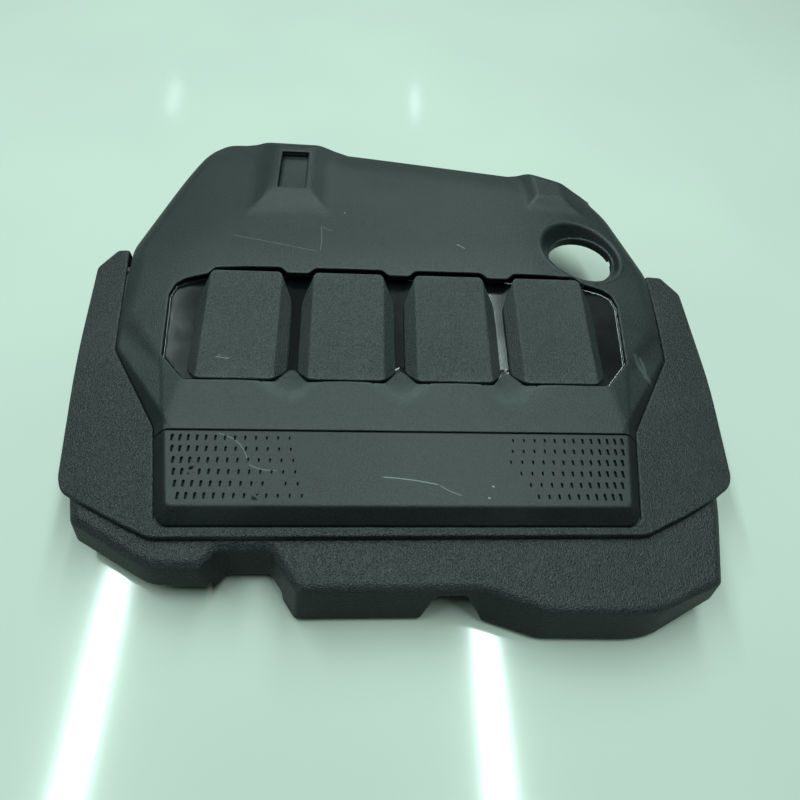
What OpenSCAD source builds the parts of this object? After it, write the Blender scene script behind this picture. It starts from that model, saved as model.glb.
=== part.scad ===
// Engine cover for a four-cylinder engine: a shell of separate mouldings that snaps onto four ball studs.
// X runs across the engine, Y from the front skirt to the rear deck, Z up.
// The origin is the middle of the footprint, on the plane that the four rubber sockets stand on.

/* [Mouldings] */
// Wall thickness of the moulded shells
wall = 2.5; // [2:0.1:3]
// Gap left between neighbouring mouldings
seam_gap = 0.6; // [0.3:0.1:0.9]
// Thickness of the flanges that the mouldings are stacked on
flange_t = 2.5; // [2:0.1:3]
// Thickness of the stiffening ribs
rib_t = 1.8; // [1.2:0.1:2.5]
// Depth of the stiffening ribs under the deck
rib_depth = 7; // [5:0.5:9]

/* [Footprint] */
// Half width of the cover across the side wings
half_width = 276.5; // [270:0.5:285]
// Half width of the raised body at its front corners
nose_half = 175.5; // [170:0.5:180]
// Half width of the raised body at its widest bend
bend_half = 236; // [230:1:240]
// Distance from the datum line forward to the nose of the raised body
nose_y = 170.5; // [165:0.5:176]
// Distance from the datum line back to the left rear corner
rear_y = 252; // [246:1:260]
// Lean of the nose walls, run for each unit of height
nose_lean = 0.83; // [0.6:0.01:0.9]
// Lean of the deck walls, run for each unit of height
deck_lean = 0.25; // [0.15:0.01:0.35]

/* [Heights] */
// Height of the flange that the side frame lies on
flange_top = 54.5; // [50:0.5:58]
// Height of the perforated panel over the side frame
panel_rise = 12; // [9:0.5:14]
// Height of the brow's upper edge over the side frame
ridge_rise = 15.2; // [14:0.1:18]
// Step from the brow up to the rear deck
deck_step = 1.9; // [1:0.1:3]
// Climb of the deck along the pads, rise for each unit of run
ramp = 0.12; // [0.08:0.005:0.15]
// Fall of the deck behind the pads, drop for each unit of run
fall = 0.035; // [0:0.005:0.06]
// Height of the rolled edge round the deck
lip_drop = 5; // [3:0.5:8]

/* [Brow and pads] */
// Distance from the datum line forward to the seam between the brow and the panel
seam_y = 99; // [94:1:104]
// Distance from the datum line forward to the brow's upper edge
ridge_y = 59; // [57.5:0.5:62]
// Spacing of the four pads, as the cylinders under them
pad_pitch = 88; // [86:0.5:92]
// Width of a pad
pad_w = 80; // [76:0.5:82]
// Width of a pad's flat top
pad_flat = 61; // [54:0.5:66]
// Length of a pad along Y
pad_len = 106; // [100:1:110]
// Depth of the pad recess under the deck surface
recess = 12; // [9:0.5:14]
// How far the pad tops lie under the deck surface
pad_sink = 1.2; // [0.5:0.1:2]
// Length of the dents that run from the gaps between pads into the brow
dent_len = 30; // [20:1:36]

/* [Perforated panel] */
// Rows of perforations
perf_rows = 6; // [4:1:6]
// Columns of perforations on each side
perf_cols = 13; // [8:1:13]
// Spacing of the rows
perf_row_pitch = 9.4; // [8:0.1:10]
// Spacing of the columns at the outer end
perf_col_pitch = 5.8; // [5:0.1:6]
// Growth of the column spacing towards the middle, for each column
perf_growth = 0.25; // [0.1:0.01:0.3]
// Width of the outermost perforation
perf_w = 2.3; // [1.6:0.1:3]
// Length of the outermost perforation
perf_l = 6; // [4:0.1:6.5]

/* [Filler opening] */
// Place of the filler opening across the cover
filler_x = 177; // [172:1:180]
// Place of the filler opening behind the datum line
filler_y = 94; // [90:1:98]
// Radius of the collar's bore
filler_r = 30.5; // [26:0.5:31]
// Radius of the funnel at the deck surface
funnel_r = 39.5; // [36:0.5:41]
// Depth of the funnel
funnel_depth = 13; // [9:0.5:16]
// Depth of the collar below the deck
collar_depth = 22; // [18:0.5:24]

/* [Front skirt] */
// Height of the skirt's shoulder above its lowest edge
skirt_h = 44; // [38:0.5:46]
// Clearance under the skirt's lowest edge
skirt_clear = 5; // [3:0.5:8]
// Lean of the skirt walls, run for each unit of height
skirt_lean = 0.17; // [0.1:0.01:0.22]
// Width of the roll between the skirt's top and its walls
roll = 5; // [3:0.5:7]

/* [Wings] */
// Height of the wings' outer walls
wing_h = 32; // [26:1:40]
// How far the left wing runs back from the datum line
wing_left = 106; // [98:1:110]
// How far the right wing runs back from the datum line
wing_right = 91; // [88:1:98]

/* [Ball sockets] */
// Radius of the ball that each rubber socket grips
ball_r = 5; // [4:0.1:6]
// Radius of the socket's mouth
mouth_r = 4.4; // [3.5:0.1:5.2]
// Outer radius of the rubber socket
socket_r = 11; // [9:0.5:13]
// Height of the rubber socket
socket_h = 18; // [15:0.5:22]

/* [Fasteners] */
// Radius of the moulded pins
pin_r = 2.2; // [1.8:0.1:2.6]
// Outer radius of the push-on nuts
nut_r = 5; // [4:0.1:5.5]
// Thickness of the push-on nuts
nut_t = 0.8; // [0.6:0.1:1.2]

/* [Sound absorber] */
// Thickness of the foam mat under the deck
foam_t = 10; // [6:0.5:12]

/* [Hidden] */
$fn = 48;

// Clearance round a pin in its hole, between a socket and its cup, and in a nut
hole_fit = 0.2;
cup_fit = 0.15;
nut_fit = 0.05;
// Wall of the gloss insert
liner = 2;
// Embedding of a rib or post in the wall that carries it
root = 0.4;
reach = 2000;

// Levels
frame_top = flange_top + flange_t;
cover_floor = flange_top - flange_t;
panel_top = frame_top + panel_rise;
ridge_z = frame_top + ridge_rise;
deck_z = ridge_z + deck_step;
// The dark bevel between the brow and the deck
band_run = 3.5;
deck_y = ridge_y - band_run;
crest_y = 70;
crest_z = deck_z + ramp * (crest_y + deck_y);
brow_slope = (ridge_rise - panel_rise) / (seam_y - ridge_y);
// Crown of the deck: where each side slope starts, its slope and the drop before it
crown_x = [140, 190];
crown_slope = [0.12, 0.25];
crown_drop = [0, crown_slope[0] * (crown_x[1] - crown_x[0])];

function unit(v) = v / norm(v);
function cross2(u, v) = u[0] * v[1] - u[1] * v[0];
function turn(a, b, c) = atan2(cross2(b - a, c - b), (b - a) * (c - b));
function inset_corner(a, b, c, d) =
  let (u = unit(b - a), v = unit(c - b), n = [-u[1], u[0]], m = [-v[1], v[0]])
  b + (n + m) * d / (1 + n * m);
function inset(pts, d) =
  let (k = len(pts))
  [for (i = [0 : k - 1]) inset_corner(pts[(i + k - 1) % k], pts[i], pts[(i + 1) % k], d)];
function chamfered(pts, c) =
  let (k = len(pts))
  [for (i = [0 : k - 1]) for (e = [-1, 1])
    pts[i] + unit(pts[(i + k + e) % k] - pts[i]) * c];
function mirrored(half) =
  concat(half, [for (i = [len(half) - 1 : -1 : 0]) [-half[i][0], half[i][1]]]);
function crown(x) =
  crown_slope[0] * max(0, abs(x) - crown_x[0])
  + (crown_slope[1] - crown_slope[0]) * max(0, abs(x) - crown_x[1]);
function deck_height(p) =
  min(deck_z + ramp * (p[1] + deck_y), crest_z - fall * (p[1] - crest_y)) - crown(p[0]);

// Children are stood on a plane through a point with the given slopes along X and Y
module seat(p, slope) {
  axis = norm(slope) == 0 ? [0, 0, 1] : [slope[1], -slope[0], 0];
  translate(p) rotate(a = atan(norm(slope)), v = axis) children();
}

// Everything that lies deeper than s under such a plane
module under(p, slope, s = 0) {
  seat(p, slope) translate([-reach / 2, -reach / 2, -reach - s]) cube(reach);
}

// Common part of the half spaces under a list of planes, above a level
module block(planes, s, low) {
  intersection() {
    for_all_under(planes, s);
    translate([-reach / 2, -reach / 2, low]) cube(reach);
  }
}

module for_all_under(planes, s) {
  intersection_for(plane = planes) under(plane[0], plane[1], s);
}

// Planes of the walls that stand on the edges of an outline, with their lean
function wall_plane(a, b, z, lean) =
  let (u = unit(b - a))
  [[a[0], a[1], z], [-u[1], u[0]] / lean];
function walls(pts, z, lean, from = 0, to = 99) =
  let (k = len(pts))
  [for (i = [from : min(to, k - 1)]) wall_plane(pts[i], pts[(i + 1) % k], z, lean)];

module prism(pts, z0, z1) {
  translate([0, 0, z0]) linear_extrude(z1 - z0) polygon(pts);
}

// Outline of the nose at the level of the side frame, and its two convex parts
nose = mirrored([[nose_half, -nose_y], [nose_half + 15, -90], [bend_half, -15], [bend_half + 4, 40]]);
front_corner = 6;
nose_edge = [nose_half + 0.2, front_corner - nose_y];
nose_front = mirrored([
  [nose_half - front_corner, -nose_y], nose_edge, nose_edge + (nose[1] - nose_edge) * 2.7
]);
nose_rear = mirrored([nose[1] - (nose[2] - nose[1]), nose[2], nose[3]]);

// Outline of the deck at its reference level, and the width of the rolled edge along it
deck_ref = frame_top + 13;
deck_line = [
  [nose_half + 10.5, 5 - nose_y / 2.48], [bend_half - 7, -16], [bend_half + 0.5, 23],
  [bend_half + 3.8, 82], [bend_half - 1.5, 100], [216.5, 158.5], [191.5, rear_y - 65],
  [136.4, rear_y - 44], [-4.7, rear_y - 21.8], [-65.8, rear_y - 13], [-174.2, rear_y - 2],
  [-187.5, rear_y - 9.4], [-195.2, rear_y - 17.8], [-208.8, rear_y - 46], [0.5 - bend_half, 124],
  [-bend_half - 6.3, 101], [-bend_half - 0.5, 23], [7 - bend_half, -16],
  [-nose_half - 10.5, 5 - nose_y / 2.48]
];
lip_side = 8;
lip_rear = 20;

function lip_plane(a, b) =
  let (u = unit(b - a), n = [-u[1], u[0]], w = n[1] < -0.7 ? lip_rear : lip_side,
    m = (a + b) / 2, p = m + n * w,
    along = (deck_height(b + n * w) - deck_height(a + n * w)) / norm(b - a),
    across = (deck_height(p) - deck_height(m) + lip_drop) / w)
  [[p[0], p[1], deck_height(p)], u * along + n * across];

band_plane = [[0, -ridge_y, ridge_z], [0, deck_step / band_run]];
// Planes 0 to 9 are the deck's own surface, and the rest are its rolled edge and the bevel at its front
deck_planes = concat(
  [[[0, -deck_y, deck_z], [0, ramp]], [[0, crest_y, crest_z], [0, -fall]]],
  [for (i = [0, 1]) for (side = [-1, 1])
    [[side * crown_x[i], -deck_y, deck_z - crown_drop[i]], [-side * crown_slope[i], ramp]]],
  [for (i = [0, 1]) for (side = [-1, 1])
    [[side * crown_x[i], crest_y, crest_z - crown_drop[i]], [-side * crown_slope[i], -fall]]],
  [for (i = [2 : len(deck_line) - 4]) lip_plane(deck_line[i], deck_line[i + 1])],
  [band_plane],
  [for (side = [-1, 1]) [[side * 171, -ridge_y, ridge_z], [-side * 0.478, 0.3]]]);

deck_walls = walls(deck_line, deck_ref, deck_lean);

module deck_form(s) {
  block(concat(deck_planes, deck_walls), s, cover_floor - min(s, 1));
}

// One convex part of the nose under further planes. Its foot is upright, with small chamfers at the
// corners, and the foot of the rear part stands back a little from that of the front part.
foot_corner = 0.8;
foot_step = 0.25;

module nose_part(line, s, low, planes, foot = 0) {
  intersection() {
    block(concat(walls(line, frame_top, nose_lean), planes), s, low);
    prism(chamfered(inset(line, s + foot), foot_corner), low - 1, panel_top + 30);
  }
}

brow_planes = [
  [[0, -seam_y, panel_top], [0, brow_slope]],
  [[182, -92, panel_top - 0.5], [-0.2318, 0.0392]],
  [[-182, -92, panel_top - 0.5], [0.2318, 0.0392]]
];

module brow_form(s) {
  low = cover_floor - min(s, 1);
  intersection() {
    union() {
      nose_part(nose_front, s, low, brow_planes);
      nose_part(nose_rear, s, low, brow_planes, foot_step);
    }
    translate([-reach / 2, s - seam_y, 0]) cube(reach);
  }
}

module panel_form(s, back, low) {
  intersection() {
    nose_part(nose_front, s, low, [[[0, -seam_y, panel_top], [0, 0]]]);
    translate([-reach / 2, back - reach, 0]) cube(reach);
  }
}

// Raised block at the left rear, over a socket, with a slot in it
hump_l = [-101, 188];
hump_l_rise = 8;
slot_depth = 7;
hump_l_planes = [
  [[hump_l[0], 156, deck_height([0, 156]) + hump_l_rise], [0, -fall]],
  [[hump_l[0], 132, deck_height([0, 132])], [0, 0.313]],
  [[-137, 150, deck_height([0, 150])], [0.47, -fall]],
  [[-66, 150, deck_height([0, 150])], [-0.42, -fall]],
  [[hump_l[0], rear_y - 24, deck_height([0, rear_y - 24]) + hump_l_rise], [0, -0.5]]
];

// Raised block at the right rear, over a socket
hump_r = [153, 178];
hump_r_planes = [
  [[hump_r[0], 163, deck_height([hump_r[0], 163]) + 6], [-0.08, -fall]],
  [[hump_r[0], 152, deck_height([hump_r[0], 152])], [-0.08, 0.52]],
  [[131, 180, deck_height([131, 180])], [0.6, -fall]],
  [[185, 180, deck_height([185, 180])], [-0.52, -fall]],
  [[hump_r[0], 196, deck_height([hump_r[0], 196]) + 5], [-0.2, -0.5]]
];

hump_l_walls = walls(deck_line, deck_ref, deck_lean, 9, 9);
hump_r_walls = walls(deck_line, deck_ref, deck_lean, 6, 7);

module hump_form(planes, s) {
  block(planes, s, deck_ref);
}

module cover_form(s) {
  deck_form(s);
  brow_form(s);
  hump_form(concat(hump_l_planes, hump_l_walls), s);
  hump_form(concat(hump_r_planes, hump_r_walls), s);
}

// The cover's surface near the dents
module brow_cap() {
  for_all_under([brow_planes[0]], 0);
  for_all_under([deck_planes[0], band_plane], 0);
}

// Opening in the deck that the pads stand in, with tongues between the pads
gap = (pad_pitch - pad_w) / 2;
tip_y = 41;
open_end = 2 * pad_pitch + 17;
tongue_tip = gap - 1.5;
tongue_root = gap + 9;
opening = mirrored([
  [tongue_tip, -tip_y], [tongue_root, -deck_y], [pad_pitch - tongue_root, -deck_y],
  [pad_pitch - tongue_tip, -tip_y], [pad_pitch + tongue_tip, -tip_y],
  [pad_pitch + tongue_root, -deck_y], [open_end - 22, -deck_y],
  [open_end, -29], [open_end + 3.5, 31], [open_end, 41], [open_end - 8, 46], [open_end - 28, 50],
  [open_end - 33, 56], [pad_pitch + 15, 56], [pad_pitch + 9, 50], [pad_pitch - 9, 50],
  [pad_pitch - 15, 56], [15, 56], [9, 50]
]);
basin = mirrored([
  [open_end - 22, -deck_y], [open_end, -29], [open_end + 3.5, 31], [open_end, 41],
  [open_end - 8, 46], [open_end - 28, 52], [open_end - 33, 56]
]);

dent_x = [-pad_pitch, 0, pad_pitch];
dent_depth = 7;
dent_half = 32;
dent_run = 28;

// Channel with a V section that deepens from the brow towards the gap between two pads
module dent(x, s) {
  y0 = -tip_y - dent_len;
  z0 = panel_top + brow_slope * (y0 + seam_y) - s;
  far = dent_len + 6;
  low = z0 - dent_depth * far / dent_len + brow_slope * far;
  side = z0 + brow_slope * dent_run;
  high = panel_top + 30;
  plan = [[x, y0], [x + dent_half, y0 + dent_run], [x, y0 + far], [x - dent_half, y0 + dent_run]];
  heights = [z0, side, low, side];
  points = concat([for (i = [0 : 3]) [plan[i][0], plan[i][1], heights[i]]],
    [for (p = plan) [p[0], p[1], high]]);
  polyhedron(points, [[0, 1, 2], [0, 2, 3], [7, 6, 5, 4], [0, 4, 5, 1], [1, 5, 6, 2],
    [2, 6, 7, 3], [3, 7, 4, 0]]);
}

module dents(s) {
  for (x = dent_x) dent(x, s);
}

// Places of the pins
function beside(a, b, t, d) =
  let (u = unit(b - a), p = a + (b - a) * t)
  [p[0] + u[1] * d, p[1] - u[0] * d];
frame_pin_half = [
  beside(nose[0], nose[1], 0.36, 6), beside(nose[1], nose[2], 0.25, 6),
  beside(nose[1], nose[2], 0.82, 6), [bend_half + 11.7, 30], [bend_half + 13, 76]
];
frame_pins = mirrored(frame_pin_half);
skirt_pins = [for (x = [-150, -50, 50, 150]) [x, 2 - nose_y]];
panel_pins = mirrored([[40, -130], [110, -110], [110, -150]]);
insert_front = mirrored([[pad_pitch / 2, -65], [1.5 * pad_pitch, -65]]);
insert_rear = mirrored([[pad_pitch / 2, 64.5], [1.5 * pad_pitch, 64.5]]);
insert_ends = mirrored([[open_end + 13.5, 0]]);
pad_x = [for (i = [0 : 3]) (i - 1.5) * pad_pitch];
pad_pin_y = [-26, 26];
mat_pins = [[-122, 98], [-40, 95], [45, 95], [-35, 195], [60, 182], [112, 128]];
sockets = [[-150, -132], [150, -132], hump_l, hump_r];

module nut(bore) {
  translate([0, 0, -nut_t]) difference() {
    cylinder(r = nut_r, h = nut_t);
    translate([0, 0, -1]) cylinder(r = bore, h = nut_t + 2);
  }
}

// Pin that hangs from a wall, through a sheet of thickness t and a nut
module pin(t, r = pin_r) {
  translate([0, 0, -t - nut_t - 1.5]) cylinder(r = r, h = t + nut_t + 1.5 + root);
}

module hole(t, r = pin_r + hole_fit) {
  translate([0, 0, -t - 1]) cylinder(r = r, h = t + 2);
}

module at_frame_pins(z) {
  for (p = frame_pins) translate([p[0], p[1], z]) children();
}

module at_skirt_pins(z) {
  for (p = skirt_pins) translate([p[0], p[1], z]) children();
}

module at_panel_pins(z) {
  for (p = panel_pins) translate([p[0], p[1], z]) children();
}

// Underside of the cover's wall, deeper by s, at the pins of the insert
module at_insert_pins(s) {
  for (p = insert_front)
    seat([p[0], p[1], panel_top + brow_slope * (p[1] + seam_y)], [0, brow_slope])
      translate([0, 0, -s]) children();
  for (p = insert_rear)
    seat([p[0], p[1], deck_z + ramp * (p[1] + deck_y)], [0, ramp])
      translate([0, 0, -s]) children();
  for (p = insert_ends)
    seat([p[0], p[1], deck_height(p)], [-sign(p[0]) * crown_slope[1], ramp])
      translate([0, 0, -s]) children();
}

module at_pad_pins(x, s) {
  for (y = pad_pin_y)
    seat([x, y, deck_z + ramp * (y + deck_y)], [0, ramp]) translate([0, 0, -s]) children();
}

module at_mat_pins(s) {
  for (p = mat_pins)
    seat([p[0], p[1], crest_z - fall * (p[1] - crest_y)], [0, -fall])
      translate([0, 0, -s]) children();
}

// Filler opening: a funnel that drops from the deck into a collar
filler_top = deck_height([filler_x, filler_y]);
filler_low = filler_top - collar_depth;
seat_r = filler_r + 1.5;

module filler_outside() {
  translate([filler_x, filler_y, 0]) rotate_extrude($fn = 96) polygon([
    [0, filler_low], [filler_r + wall, filler_low],
    [filler_r + wall, filler_top - funnel_depth - wall],
    [seat_r + wall, filler_top - funnel_depth - wall],
    [funnel_r + wall, filler_top], [funnel_r + wall, filler_top + 8], [0, filler_top + 8]
  ]);
}

module filler_inside() {
  step = (funnel_r - seat_r) / funnel_depth;
  translate([filler_x, filler_y, 0]) rotate_extrude($fn = 96) polygon([
    [0, filler_low - 40], [filler_r, filler_low - 40], [filler_r, filler_top - funnel_depth],
    [seat_r, filler_top - funnel_depth], [funnel_r + 10 * step, filler_top + 10], [0, filler_top + 10]
  ]);
  translate([filler_x + filler_r - 2, filler_y - 1, filler_low - 1]) rotate(20) cube([8, 7, 5]);
}

// Ribs that hang from the inside of the cover, a little shorter than the bosses beside them
rib_gap = 0.3;
rib_x = [-190, -150, -60, -20, 20, 60, 100, 190];
rib_y = [76, 112, 150, 205];

module deck_ribs() {
  difference() {
    intersection() {
      deck_form(wall - root);
      union() {
        for (x = rib_x) translate([x - rib_t / 2, 75, cover_floor]) cube([rib_t, 170, 60]);
        for (y = rib_y) translate([-235, y - rib_t / 2, cover_floor]) cube([470, rib_t, 60]);
      }
    }
    for_all_under(deck_planes, wall + rib_depth - rib_gap);
  }
}

module nose_ribs() {
  top = panel_top - seam_gap - 2 * wall;
  difference() {
    intersection() {
      panel_form(seam_gap + 2 * wall - root, -seam_y, cover_floor);
      union() {
        for (x = mirrored([[22, 0], [66, 0], [90, 0], [132, 0]]))
          translate([x[0] - rib_t / 2, -170, top - rib_depth]) cube([rib_t, 70, 30]);
        for (y = [-140, -118]) translate([-180, y - rib_t / 2, top - rib_depth]) cube([360, rib_t, 30]);
      }
    }
    translate([-300, -300, top - rib_depth - reach]) cube(reach);
  }
}

cup_low = 2;
cup_r = socket_r + cup_fit;
bead = 0.8;
bead_z = 12;

// Cup for a rubber socket on crossed ribs that reach up into the cover
module tower(p, spread) {
  top = socket_h + cup_fit;
  translate([p[0], p[1], 0]) {
    translate([0, 0, cup_low]) cylinder(r = cup_r + wall, h = top + wall - cup_low);
    translate([-spread / 2, -wall / 2, top + 1]) cube([spread, wall, 90]);
    translate([-wall / 2, -spread / 2, top + 1]) cube([wall, spread, 90]);
  }
}

module cup_bore(p) {
  translate([p[0], p[1], 0]) {
    cylinder(r = cup_r, h = socket_h + cup_fit);
    translate([0, 0, bead_z - cup_fit]) cylinder(r = cup_r + bead, h = 2 + 2 * cup_fit);
  }
}

module towers() {
  for (i = [0, 1]) intersection() {
    tower(sockets[i], 2 * cup_r);
    under([0, 0, panel_top], [0, 0], seam_gap + 2 * wall - root);
  }
  intersection() {
    tower(sockets[2], 2 * cup_r);
    for_all_under([hump_l_planes[0]], wall - root);
  }
  intersection() {
    tower(sockets[3], 2 * cup_r);
    for_all_under([hump_r_planes[0]], wall - root);
  }
}

// Slot in the left block: its floor and sides
slot = [[-114, 158], [-88, 158], [-88, 217], [-114, 217]];

module slot_floor(s) {
  top = hump_l_planes[0];
  under(top[0], top[1], slot_depth + s);
}

module slot_box() {
  difference() {
    intersection() {
      prism(inset(slot, -wall), deck_ref, 110);
      for_all_under([hump_l_planes[0]], wall - root);
    }
    slot_floor(wall);
  }
}

module slot_cut() {
  difference() {
    prism(slot, cover_floor, 120);
    slot_floor(0);
  }
}

flange_line = concat(
  [for (i = [0 : 2]) nose[i]], [[bend_half + 7, 84]],
  [[-bend_half - 7, 84]], [for (i = [5 : 7]) nose[i]]);

module flange_ring() {
  difference() {
    intersection() {
      prism(inset(flange_line, -11), cover_floor, flange_top);
      prism(inset(frame_line, 1 + frame_roll + wall + hole_fit), cover_floor - 1, frame_top);
      translate([-reach / 2, -reach / 2, 0]) cube([reach, reach / 2 + 84, 100]);
    }
    prism(inset(flange_line, 3 * wall), 0, 100);
  }
}

module main_cover() {
  color("DarkSlateGray") difference() {
    union() {
      difference() {
        union() {
          cover_form(0);
          panel_form(wall + seam_gap, -seam_y + 1, cover_floor);
          flange_ring();
        }
        cover_form(wall);
        panel_form(2 * wall + seam_gap, -seam_y + wall + 1, cover_floor - 1);
      }
      intersection() {
        brow_cap();
        dents(wall);
      }
      intersection() {
        for_all_under([for (i = [0 : 9]) deck_planes[i]], 0);
        filler_outside();
      }
      slot_box();
      deck_ribs();
      nose_ribs();
      towers();
      at_insert_pins(wall) pin(liner);
      at_mat_pins(wall) pin(rib_depth + foam_t);
      at_mat_pins(wall) translate([0, 0, -rib_depth]) cylinder(r = pin_r + 1.5, h = rib_depth + root);
      at_skirt_pins(cover_floor) pin(flange_t);
    }
    dents(0);
    prism(opening, cover_floor - 10, 120);
    filler_inside();
    slot_cut();
    for (p = sockets) cup_bore(p);
    at_frame_pins(flange_top) hole(flange_t);
    at_panel_pins(panel_top - wall - seam_gap) hole(wall);
  }
}

// Outline of the side frame at the foot of its wings
frame_line = [
  [-178, -181], [179, -179.5], [222, -160], [255.5, -139], [261, -130],
  [half_width - 4, -40], [half_width, 68],
  [262, wing_right], [246, wing_right + 1], [-252, wing_left + 1], [-262, wing_left],
  [-half_width, 82], [9 - half_width, -27], [-252, -135], [-246.5, -145], [-212, -165]
];
// Opening in the side frame that the nose and the deck stand in
frame_nose = mirrored([nose_front[0], nose_edge, nose[1], nose[2], nose[3]]);
frame_hole = concat(
  [for (i = [0 : 3]) inset(frame_nose, -seam_gap)[i]],
  [[bend_half + 5.5, 26], [bend_half + 10.5, 92], [bend_half + 14, 140], [-bend_half - 20, 140],
   [-bend_half - 15, 106], [-bend_half - 5.5, 26]],
  [for (i = [6 : 9]) inset(frame_nose, -seam_gap)[i]]);
frame_roll = 1.8;
wing_low = frame_top - wing_h;
part_z = cover_floor + 0.3;
fold_planes = [
  [[259, 75, frame_top], [-0.0994, 0.0113]],
  [[-259, 75, frame_top], [0.0994, 0.0113]]
];

module frame_form(s) {
  block(concat(walls(frame_line, wing_low, 1 / (wing_h - 4)),
    walls(inset(frame_line, 1), frame_top - 4, frame_roll / 4),
    [[[0, 0, frame_top], [0, 0]]], fold_planes), s, wing_low - min(s, 1));
}

wing_rib_y = [-100, -60, -20, 20, 56];

module side_frame() {
  color("DimGray") {
    difference() {
      union() {
        difference() {
          frame_form(0);
          frame_form(wall);
        }
        difference() {
          intersection() {
            frame_form(wall - root);
            union() for (y = wing_rib_y)
              translate([-300, y - rib_t / 2, flange_top - rib_depth]) cube([600, rib_t, 20]);
          }
          prism(inset(flange_line, -12), 0, 100);
        }
      }
      prism(frame_hole, 0, 100);
      translate([-reach / 2, -137 - reach, part_z - reach]) cube(reach);
    }
    at_frame_pins(flange_top) pin(flange_t);
  }
}

// Outline of the front skirt at its shoulder, as convex parts that overlap
shoulder_z = skirt_clear + skirt_h;
skirt_top = cover_floor;
skirt_parts = [
  [[-251.4, -110], [-236, -164], [-182, -195], [-175, -197], [-142, -198], [-120, -172], [-120, -110]],
  [[-230, -110], [-215, -185], [150, -184.5], [200, -110]],
  [[-130, -135.3], [-74, -214], [150, -214], [200, -110], [-130, -110]],
  [[-40, -182.7], [53, -214], [99, -229.5], [168, -231], [181, -229], [233, -208], [238, -202],
   [246, -148], [257.2, -110], [-40, -110]]
];
skirt_slope = [[[0, -178, skirt_top], [0, 0.045]], [[0, 0, skirt_top], [0, 0]]];

module skirt_form(s) {
  for (line = skirt_parts)
    block(concat(walls(line, shoulder_z, skirt_lean, 0, len(line) - 2),
      walls(inset(line, 0.5), shoulder_z - 1, roll / 4, 0, len(line) - 2),
      skirt_slope), s, skirt_clear - min(s, 1));
}

// The skirt ends behind the front edge of the side frame
module skirt_end() {
  prism([[-reach, -139.5], [-241, -139.5], [-176, -160], [176, -160], [247, -139.5],
    [reach, -139.5], [reach, reach], [-reach, reach]], -1, 100);
}

gusset_x = [-160, -60, 0, 76, 130, 170, 205];

module front_skirt() {
  color("DimGray") difference() {
    union() {
      difference() {
        skirt_form(0);
        skirt_form(wall);
      }
      difference() {
        intersection() {
          skirt_form(wall - root);
          union() for (x = gusset_x) translate([x - rib_t / 2, -300, 0]) cube([rib_t, 122, 100]);
        }
        under([0, -178, skirt_top - 10], [0, 0.55]);
      }
    }
    skirt_end();
    // Steps and slopes of the lower edge
    translate([-137 - reach, -reach / 2, 22 - reach]) cube(reach);
    translate([-138, -300, 14 - reach]) cube([50, 200, reach]);
    translate([189, 0, skirt_clear]) rotate([90, 0, 0]) linear_extrude(reach / 2)
      polygon([[0, -50], [90, -50], [90, 90 * 0.43], [0, 0]]);
    // Notch with sloping sides
    translate([0, -200, 0]) rotate([90, 0, 0]) linear_extrude(60)
      polygon([[12, -1], [61, -1], [59, skirt_clear], [44, 40], [23, 40], [14, skirt_clear]]);
    at_skirt_pins(cover_floor) hole(flange_t);
  }
}

// Perforations: columns that grow smaller and closer together from the ends to the middle
function perf_x(i) = i * perf_col_pitch + perf_growth * i * (i - 1) / 2;
perf_front = [171, 169.5, 167, 165, 162.5, 159];

module perforation(k) {
  w = perf_w - 0.075 * k;
  l = perf_l - 0.26 * k;
  translate([0, 0, -1.5]) linear_extrude(4) {
    square([w, l - w], center = true);
    for (e = [-1, 1]) translate([0, e * (l - w) / 2]) circle(r = w / 2, $fn = 12);
  }
}

module perforations() {
  for (side = [-1, 1]) for (row = [0 : perf_rows - 1]) for (k = [0 : perf_cols - 1])
    if (side < 0 || row < 3 || k < 15 - row)
      translate([side * (perf_front[row] - perf_x(k)), -seam_y - 7 - row * perf_row_pitch, panel_top])
        perforation(k);
}

module perforated_panel() {
  color("SlateGray") {
    difference() {
      panel_form(0, -seam_y - seam_gap, flange_top);
      panel_form(wall, -seam_y, flange_top - 1);
      perforations();
    }
    at_panel_pins(panel_top - wall) pin(wall + seam_gap);
    at_panel_pins(panel_top - wall - seam_gap)
      difference() {
        cylinder(r = pin_r + 1.5, h = seam_gap + root);
      }
  }
}

module gloss_insert() {
  deep = [[0, -deck_y, deck_z], [0, ramp]];
  color("Black") difference() {
    union() {
      // Flange against the underside of the cover
      difference() {
        intersection() {
          prism(inset(basin, -14.5), 40, 120);
          union() {
            deck_form(wall);
            brow_form(wall);
          }
        }
        deck_form(wall + liner);
        brow_form(wall + liner);
      }
      // Basin under the opening
      difference() {
        intersection() {
          prism(inset(basin, -1 - liner), 40, 120);
          union() {
            deck_form(wall);
            brow_form(wall);
          }
        }
        under(deep[0], deep[1], recess + liner);
      }
    }
    difference() {
      prism(inset(basin, -1), 40, 130);
      under(deep[0], deep[1], recess);
    }
    dents(wall + seam_gap);
    translate([filler_x, filler_y, 0]) cylinder(r = funnel_r + wall + seam_gap, h = 200, $fn = 96);
    at_insert_pins(wall) hole(liner);
    for (x = pad_x) at_pad_pins(x, recess) hole(liner);
  }
}

pad_slope = 0.8;

module pad_form(x, s) {
  h = pad_w / 2;
  f = pad_len / 2 + 1;
  b = pad_len / 2 - 1;
  line = [[x - h + 10, -f], [x + h - 10, -f], [x + h, 12 - f], [x + h, b - 25], [x + h - 11, b],
    [x - h + 11, b], [x - h, b - 25], [x - h, 12 - f]];
  top = deck_z + ramp * deck_y;
  intersection() {
    prism(inset(line, s), 30, 120);
    under([x, 0, top], [0, ramp], pad_sink + s);
    under([x + pad_flat / 2, 0, top], [-pad_slope, ramp], pad_sink + s);
    under([x - pad_flat / 2, 0, top], [pad_slope, ramp], pad_sink + s);
  }
}

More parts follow.
